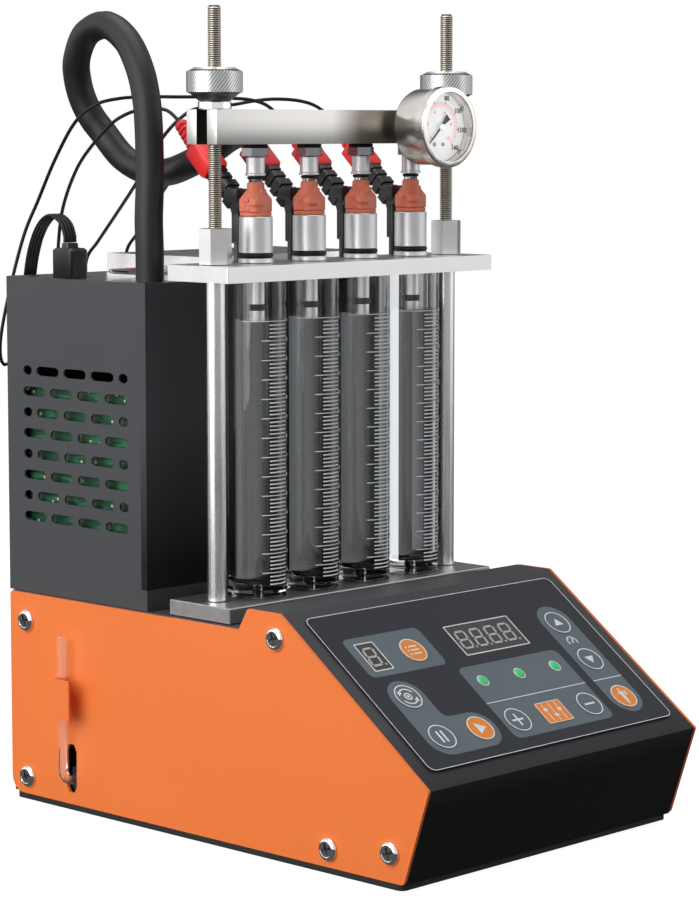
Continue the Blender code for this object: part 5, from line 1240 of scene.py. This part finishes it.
def dialPlace(radius, number, count):
    return dialPoint(radius, gaugeShape["zero"] - gaugeShape["sweep"] * number / (count - 1))


def dialMarks(count, every, start, long, short, widths):
    # radial strokes round the dial, every so often a long one
    marks = []
    for i in range(count):
        end, width = (short, widths[1]) if i % every else (long, widths[0])
        marks.append(bar(*dialPlace(start, i, count), *dialPlace(end, i, count), width))
    return flat(marks, 0.08)


def dialFigures(count, step, size, radius, weight):
    return joined([textMesh(str(step * i), size, *dialPlace(radius, i, count), flip=True, weight=weight)
                   for i in range(count)])


def makeGauge():
    shape = gaugeShape
    outer, case, window, dial = shape["outer"], shape["case"], shape["window"], shape["dial"]
    end = shape["length"]
    body = lathe([(outer - 1.3, 0), (outer - 0.5, 0.25), (outer, 1.0), (outer, shape["bezel"] - 0.6),
                  (outer - 0.5, shape["bezel"]), (case, shape["bezel"] + 0.15), (case, end - 2.6),
                  (case - 0.8, end - 0.8), (case - 2.6, end), (shape["stem"] + 0.2, end),
                  (shape["stem"], end + 0.2), (shape["stem"], end + shape["stemLength"])], 96)
    drill(body, window, -1, 5.2, 96)
    drill(body, window - 0.8, 4.8, 10.4, 96)
    gaugePiece(body, "gaugeCase", "gaugeSteel", 28)
    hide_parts("gauge_case")
    face = lathe([(window - 1.1, dial), (window - 1.1, dial + 0.9)], 96)
    gaugePiece(face, "gaugeFace", "dialWhite", 30)
    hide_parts("gauge_dial")
    glass = bevelled(lathe([(window - 0.3, 1.0), (window - 0.3, 2.4)], 96), 0.2)
    gaugePiece(glass, "gaugeGlass", "glass", 30)
    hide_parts("gauge_glass")
    card = dial - 0.06
    band = flat([arcBand(0, 0, *shape["band"], -45, 270, 60)], 0.08)
    band.rotation_euler = (math.pi, 0, 0)
    gaugePiece(band, "gaugeBand", "dialPink", 0, back=card)
    prints = (("gaugeTicks", dialMarks(*shape["ticks"]), "dialInk", 0.02),
              ("gaugeInnerTicks", dialMarks(*shape["innerTicks"]), "dialRed", 0.02),
              ("gaugeFigures", dialFigures(*shape["figures"]), "dialInk", 0.02),
              ("gaugeInnerFigures", dialFigures(*shape["innerFigures"]), "dialRed", 0.06))
    for name, piece, finish, raised in prints:
        gaugePiece(piece, name, finish, 0, back=card - raised)
    rivets = []
    for x, y in shape["rivets"]:
        rivet = lathe([(1.15, dial - 0.05), (1.15, dial - 0.35), (0.6, dial - 0.65)], 20)
        rivet.location = (x * mm, y * mm, 0)
        rivets.append(rivet)
    gaugePiece(joined(rivets), "gaugeRivets", "hexSteel", 35)
    # needle: slim pointer, wide counterweight and a bright hub
    zero = math.radians(shape["zero"])
    outline = shape["pointer"] + [(x, -y) for x, y in reversed(shape["pointer"])]
    pointer = flat([[(x * math.cos(zero) - y * math.sin(zero), -x * math.sin(zero) - y * math.cos(zero))
                     for x, y in outline]], 0.5)
    gaugePiece(pointer, "gaugePointer", "dialInk", 20, "needle", dial - 1.3)
    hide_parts("gauge_needle")
    hub = lathe([(0.9, dial - 0.2), (0.9, dial - 1.0), (2.1, dial - 1.1), (2.1, dial - 1.9),
                 (1.5, dial - 2.5)], 32)
    gaugePiece(hub, "gaugeHub", "chrome", 35, "needle")


makeGauge()
print("gauge made")


# printing on the key panel, set out from the middle and down the slope
panel = {"slope": 36.21, "top": (116.1, 145.8), "film": 1.5, "keyTop": 2.0, "column": (-80.7, 32.5),
         "row": (45.5, 32.5)}
secondLayer = panel["film"] + 0.05


def onPanel(x, s, h):
    lean = math.radians(panel["slope"])
    y = panel["top"][0] - s * math.cos(lean) - h * math.sin(lean)
    z = panel["top"][1] - s * math.sin(lean) + h * math.cos(lean)
    return movedTo(x, y, z) @ Matrix.Rotation(lean, 4, "X")


def printed(outlines, name, finish, x, s, h=panel["film"], body="cabinet", thick=0.05):
    return settle(flat(outlines, thick), name, body, finish, 0, onPanel(x, s, h + thick / 2 + 0.005))


def ringOf(outer, inner):
    return [circle(0, 0, outer, 40), circle(0, 0, inner, 40)[::-1]]


def frameOf(width, height, radius, line):
    return [roundedRect(0, 0, width, height, radius),
            roundedRect(0, 0, width - 2 * line, height - 2 * line, max(radius - line, 0.05))[::-1]]


def shifted(outline, dx, dy):
    return [(x + dx, y + dy) for x, y in outline]


def makeZones():
    # grey fields behind the keys
    printed(frameOf(216.0, 124.0, 5.0, 0.45), "labelBorder", "whiteInk", 0, 70.0)
    printed([roundedRect(0, 0, 64.0, 31.5, 4.5)], "zoneProgram", "zoneInk", -62.8, 44.3)
    printed([roundedRect(0, 0, 89.0, 58.5, 5.0)], "zoneValues", "zoneInk", 16.5, 94.3)
    printed([bar(-44.5, 0, 44.5, 0, 0.55)], "zoneValuesRule", "whiteInk", 16.5, 94.4, secondLayer)
    printed([roundedRect(0, 0, 26.5, 92.0, 13.2, 14)], "zoneSpeed", "zoneInk", 82.0, 77.0)
    printed([bar(-13.2, 0, 13.2, 0, 0.55)], "zoneSpeedRule", "whiteInk", 82.0, 94.6, secondLayer)
    printed([lShape()], "zoneRun", "zoneInk", 0, 0)


def lShape():
    # an L of two round-ended arms, drawn with y up the slope
    radius = 13.4
    points = circle(-80.6, -78.6, radius, 20, 0, 180)
    points += circle(-80.6, -110.9, radius, 10, 180, 90)
    points += circle(-48.4, -110.9, radius, 20, -90, 180)
    points += [(-62.5, -97.5), (-65.0, -96.6), (-66.6, -94.6), (-67.2, -92.0)]
    return points


digit = {"height": 14.8, "width": 7.9, "line": 1.5, "gap": 0.28, "lean": 0.12, "spacing": 12.9}


def makeDisplays():
    # an unlit digit for the program and four for the values
    for name, x, s, count, width, height in (("programDisplay", -80.6, 44.6, 1, 15.2, 22.0),
                                             ("mainDisplay", 17.3, 44.7, 4, 56.5, 24.3)):
        top = panel["film"] + 0.02
        if count == 1:
            window = [roundedRect(0, 0, width, height, 0.8)]
            printed(window, name + "Window", "windowBlack", x, s, secondLayer)
            top = panel["film"] + 0.1
        border = frameOf(width + 0.6, height + 0.6, 1.0, 0.75)
        printed(border, name + "Border", "whiteInk", x, s, top, thick=0.1)
        outlines = []
        for place in range(count):
            middle = (place - (count - 1) / 2) * digit["spacing"] - 1.0
            outlines += [shifted(o, middle, 0) for o in sevenBars()]
            outlines.append(shifted(circle(0, 0, 0.8, 16), middle + digit["width"] / 2 + 1.6,
                                    -digit["height"] / 2 + 0.5))
        printed(outlines, name + "Bars", "digitGrey", x, s, top)


def sevenBars():
    # seven leaning bars of an unlit digit
    half, high, line, gap = digit["width"] / 2, digit["height"] / 2, digit["line"], digit["gap"]

    def lean(points):
        return [(x + y * digit["lean"], y) for x, y in points]

    def level(y):
        reach = half - gap
        return lean([(-reach, y), (-reach + line / 2, y + line / 2), (reach - line / 2, y + line / 2),
                     (reach, y), (reach - line / 2, y - line / 2), (-reach + line / 2, y - line / 2)])

    def upright(x, low, top):
        low, top = low + gap, top - gap
        return lean([(x, low), (x - line / 2, low + line / 2), (x - line / 2, top - line / 2),
                     (x, top), (x + line / 2, top - line / 2), (x + line / 2, low + line / 2)])

    edge = high - line / 2
    return [level(edge), level(0), level(-edge), upright(-half, 0, edge), upright(half, 0, edge),
            upright(-half, -edge, 0), upright(half, -edge, 0)]


def keySpot(column, row):
    return (panel["column"][0] + panel["column"][1] * column, panel["row"][0] + panel["row"][1] * row)


def turningArrows():
    # two curved arrows round a dot in a ring
    outlines = []
    for turn in (0, 180):
        outlines.append(arcBand(0, 0, 4.7, 5.5, turn + 25, 115, 16))
        angle = math.radians(turn + 150)
        along, across = math.cos(angle), math.sin(angle)
        x, y = 5.1 * along, 5.1 * across
        outlines.append([(x + along * 1.5 + across * 1.4, y + across * 1.5 - along * 1.4),
                         (x - across * 1.6, y + along * 1.6),
                         (x - along * 1.5 + across * 1.4, y - across * 1.5 - along * 1.4)])
    return outlines + [circle(0, 0, 2.5, 24), circle(0, 0, 1.7, 24)[::-1], circle(0, 0, 0.9, 16)]


def plusSign(long, short):
    quarter = [(-long, short), (-short, short), (-short, long)]
    outline = []
    for i in range(4):
        outline += quarter
        quarter = [(y, -x) for x, y in quarter]
    return outline


def makeKeyFaces():
    listSign = []
    for y in (2.6, 0, -2.6):
        listSign += [bar(-1.6, y, 4.2, y, 0.9), circle(-3.6, y, 0.6, 12)]
    spray = [bar(*stroke) for stroke in ((-0.2, 5.6, -0.2, 2.2, 1.1), (-2.2, 2.4, 1.8, 2.4, 1.6),
                                         (-0.2, 1.6, -0.2, -2.6, 2.2))]
    spray += [[(-1.3, -2.6), (0.9, -2.6), (0.1, -5.8), (-0.5, -5.8)], bar(1.2, 0.4, 3.6, 1.6, 1.0),
              bar(3.2, 0.2, 3.2, 3.4, 0.9)]
    sliders = []
    for x, y in ((-5.6, 2.4), (0.0, -2.6), (5.6, 1.2)):
        sliders += [bar(x, 6.8, x, y + 2.1, 0.6), bar(x, y - 2.1, x, -6.8, 0.6),
                    circle(x, y, 2.2, 24), circle(x, y, 1.5, 24)[::-1]]
    # white signs on each key: name, column, row, outlines; the wide key has a square frame
    signs = (("program", 1, 0, listSign), ("up", 5, 0, [[(-3.4, -2.0), (3.4, -2.0), (0, 3.0)]]),
             ("down", 5, 1, [[(-3.4, 2.0), (0, -3.0), (3.4, 2.0)]]), ("injector", 5, 2, spray),
             ("mode", 0, 1, turningArrows()),
             ("pause", 0, 2, [bar(-1.6, 3.9, -1.6, -3.9, 1.3), bar(1.6, 3.9, 1.6, -3.9, 1.3)]),
             ("start", 1, 2, [[(-2.4, 3.7), (-2.4, -3.7), (4.2, 0)]]), ("plus", 2, 2, [plusSign(4.2, 0.6)]),
             ("minus", 4, 2, [bar(-3.9, 0, 3.9, 0, 1.2)]), ("adjust", 3, 2, sliders))
    for name, column, row, outlines in signs:
        x, s = keySpot(column, row)
        body = f"key_{name}_cap"
        ring = frameOf(21.4, 16.6, 1.1, 0.5)
        if name != "adjust":
            outlines = [[(px * 1.12, py * 1.12) for px, py in outline] for outline in outlines]
            ring = ringOf(9.1, 8.35)
        printed(outlines, name + "Sign", "whiteInk", x, s, panel["keyTop"], body)
        printed(ring, name + "Ring", "whiteInk", x, s, panel["keyTop"], body, 0.08)


indicators = {"x": (-15.7, 16.8, 49.2), "down": 77.4, "ring": (4.2, 3.5), "sign": (80.8, 61.8)}


def makeIndicators():
    # three green lamps and the small dial sign between the arrows
    down = indicators["down"]
    for number, x in enumerate(indicators["x"], start=1):
        printed(ringOf(*indicators["ring"]), f"lampRing{number}", "whiteInk", x, down, secondLayer)
        lens = lathe([(3.5, 0), (3.5, 0.25), (2.6, 0.8), (1.4, 1.0)], 32)
        settle(lens, f"lampLens{number}", "cabinet", "lampGreen", 60, onPanel(x, down, panel["film"] + 0.04))
    sign = [arcBand(0, 0, 3.6, 4.3, -30, 240, 30), bar(0, -0.3, 1.9, 2.6, 0.8), circle(0, -0.3, 0.9, 16)]
    for i in range(5):
        angle = math.radians(-10 + 50 * i)
        along, across = math.cos(angle), math.sin(angle)
        sign.append(bar(2.6 * along, 2.6 * across, 3.3 * along, 3.3 * across, 0.4))
    printed(sign, "speedSign", "whiteInk", *indicators["sign"], secondLayer)


makeZones()
makeDisplays()
makeKeyFaces()
makeIndicators()
print("panel printed")


# cross-head screws of the side plates
screwShape = {"radius": 6.9, "rise": 2.7, "cup": 4.5, "face": 120.02, "cross": (7.4, 1.5, 3.4, 0.2),
              "turn": 20, "recess": 0.9,
              "places": ((341.9, 115.4), (341.9, 16.2), (119.4, 131.0), (77.0, 15.6), (29.0, 21.6))}


def makeScrews():
    shape = screwShape
    radius, rise, cup = shape["radius"], shape["rise"], shape["cup"]
    head = lathe([(radius - 0.3, 0), (radius, 0.25), (radius, 0.9), (radius * 0.95, rise * 0.62),
                  (cup + 0.9, rise * 0.94), (cup + 0.4, rise), (cup, rise), (cup - 0.3, rise - 0.35)], 56)
    for turn in (0, 90):
        blade = box(*shape["cross"], (0, 0, rise + 0.1))
        blade.rotation_euler = (0, 0, math.radians(turn + shape["turn"]))
        cutAway(head, blade)
    for number, (y, z) in enumerate(shape["places"], start=1):
        for side, name in ((-1, "Left"), (1, "Right")):
            twin = newObject("screw", head.data.copy())
            settle(twin, f"plateScrew{name}{number}", "cabinet", "chrome", 30,
                   movedTo(side * shape["face"], y, z) @ turnedTo((side, 0, 0)))
            # the driver recess, given painted shade
            floor = spot(side * (shape["face"] + rise - shape["recess"]), y, z)
            darkenFaces(twin, lambda face: ((face.center - floor).x * side < 0
                                            and (face.center - floor).yz.length < (cup - 0.6) * mm))
    bpy.data.objects.remove(head)


makeScrews()
print("screws made")


# shallow dark pan on the feet, under the plates: a dark sheet that stands in for the shadow in the gap under
# the cabinet
shadowPanShape = {"side": 118.6, "front": 21.0, "rear": 355.5, "low": 0.9, "high": 4.8, "corner": 4.0}


def makeShadowPan():
    shape = shadowPanShape
    front, rear, low, high = shape["front"], shape["rear"], shape["low"], shape["high"]
    outline = roundedRect(0, (front + rear) / 2, shape["side"] * 2, rear - front, shape["corner"])
    pan = flat([outline], high - low, 0.5)
    settle(pan, "shadowPan", "cabinet", "footRubber", 30, movedTo(0, 0, (high + low) / 2))


makeShadowPan()
print("pan made")


# floor, backdrop and lamps
stageLight = {"size": 12, "glow": 1.66, "glowShare": 0.56, "reflected": 0.10, "soft": 0.20,
              "wall": {"From Min": 0.55, "From Max": 0.92, "To Min": 0.84, "To Max": 0.06},
              "wallWay": (0.72, 0.69, 0.0)}


def setFloor():
    clearSelection()
    bpy.ops.mesh.primitive_plane_add(size=stageLight["size"], location=(0, 0, 0))
    floor = bpy.context.object
    floor.name = "studioFloor"
    recipe = Recipe("studioFloorFinish", (0.80, 0.80, 0.80), 0.9)
    recipe.set("Base Color", recipe.blendColours(recipe.noise(3, 2), (0.79, 0.79, 0.79), (0.81, 0.81, 0.81)))
    glow = recipe.light("ShaderNodeEmission", stageLight["glow"])
    dark = recipe.light("ShaderNodeEmission", stageLight["reflected"])
    bright = recipe.mixShaders(stageLight["glowShare"], Signal(recipe, recipe.shader.outputs[0]), glow)
    recipe.feed(recipe.tree.nodes["Material Output"].inputs[0],
                recipe.mixShaders(recipe.seenDirectly(), dark, bright))
    floor.data.materials.append(recipe.material)


def setWorld():
    world = bpy.data.worlds.new("studioWorld")
    bpy.context.scene.world = world
    world.use_nodes = True
    tree = world.node_tree
    tree.nodes.remove(tree.nodes["Background"])
    wiring = Wiring(tree)
    soft = wiring.light("ShaderNodeBackground", stageLight["soft"])
    white = wiring.light("ShaderNodeBackground", 1)
    # a darker studio wall behind the right rear, seen only in reflections
    way = wiring.add("ShaderNodeTexCoord", output="Generated")
    toward = wiring.add("ShaderNodeVectorMath", {"operation": "DOT_PRODUCT"},
                        {0: way, 1: stageLight["wallWay"]}, "Value")
    wall = wiring.add("ShaderNodeMapRange", {}, {"Value": toward, **stageLight["wall"]}, "Result")
    dim = wiring.light("ShaderNodeBackground", wall)
    shine = wiring.mixShaders(wiring.add("ShaderNodeLightPath", output="Is Glossy Ray"), soft, dim)
    wiring.feed(tree.nodes["World Output"].inputs[0], wiring.mixShaders(wiring.seenDirectly(), shine, white))


def addLamp(name, place, target, size, power):
    data = bpy.data.lights.new(name, "AREA")
    data.shape = "RECTANGLE"
    data.size, data.size_y = size
    data.energy = power
    lamp = newObject(name, data)
    lamp.location = spot(*place)
    lamp.rotation_euler = (spot(*place) - spot(*target)).to_track_quat("Z", "Y").to_euler()


lamps = {
    "leftSoft": {"place": (-1700, 300, 900), "target": (0, 180, 220), "size": (1.8, 1.8), "power": 33},
    "frontSoft": {"place": (1700, -1700, 600), "target": (0, 180, 220), "size": (2.2, 1.6), "power": 9},
    "topSoft": {"place": (0, 300, 1900), "target": (0, 180, 200), "size": (1.4, 1.4), "power": 15},
    "rearSoft": {"place": (-1500, 1900, 500), "target": (0, 180, 220), "size": (2.2, 1.4), "power": 6},
}
bpy.context.scene.view_settings.view_transform = "Standard"
setFloor()
setWorld()
for lampName, lamp in lamps.items():
    addLamp(lampName, **lamp)
print("stage set")
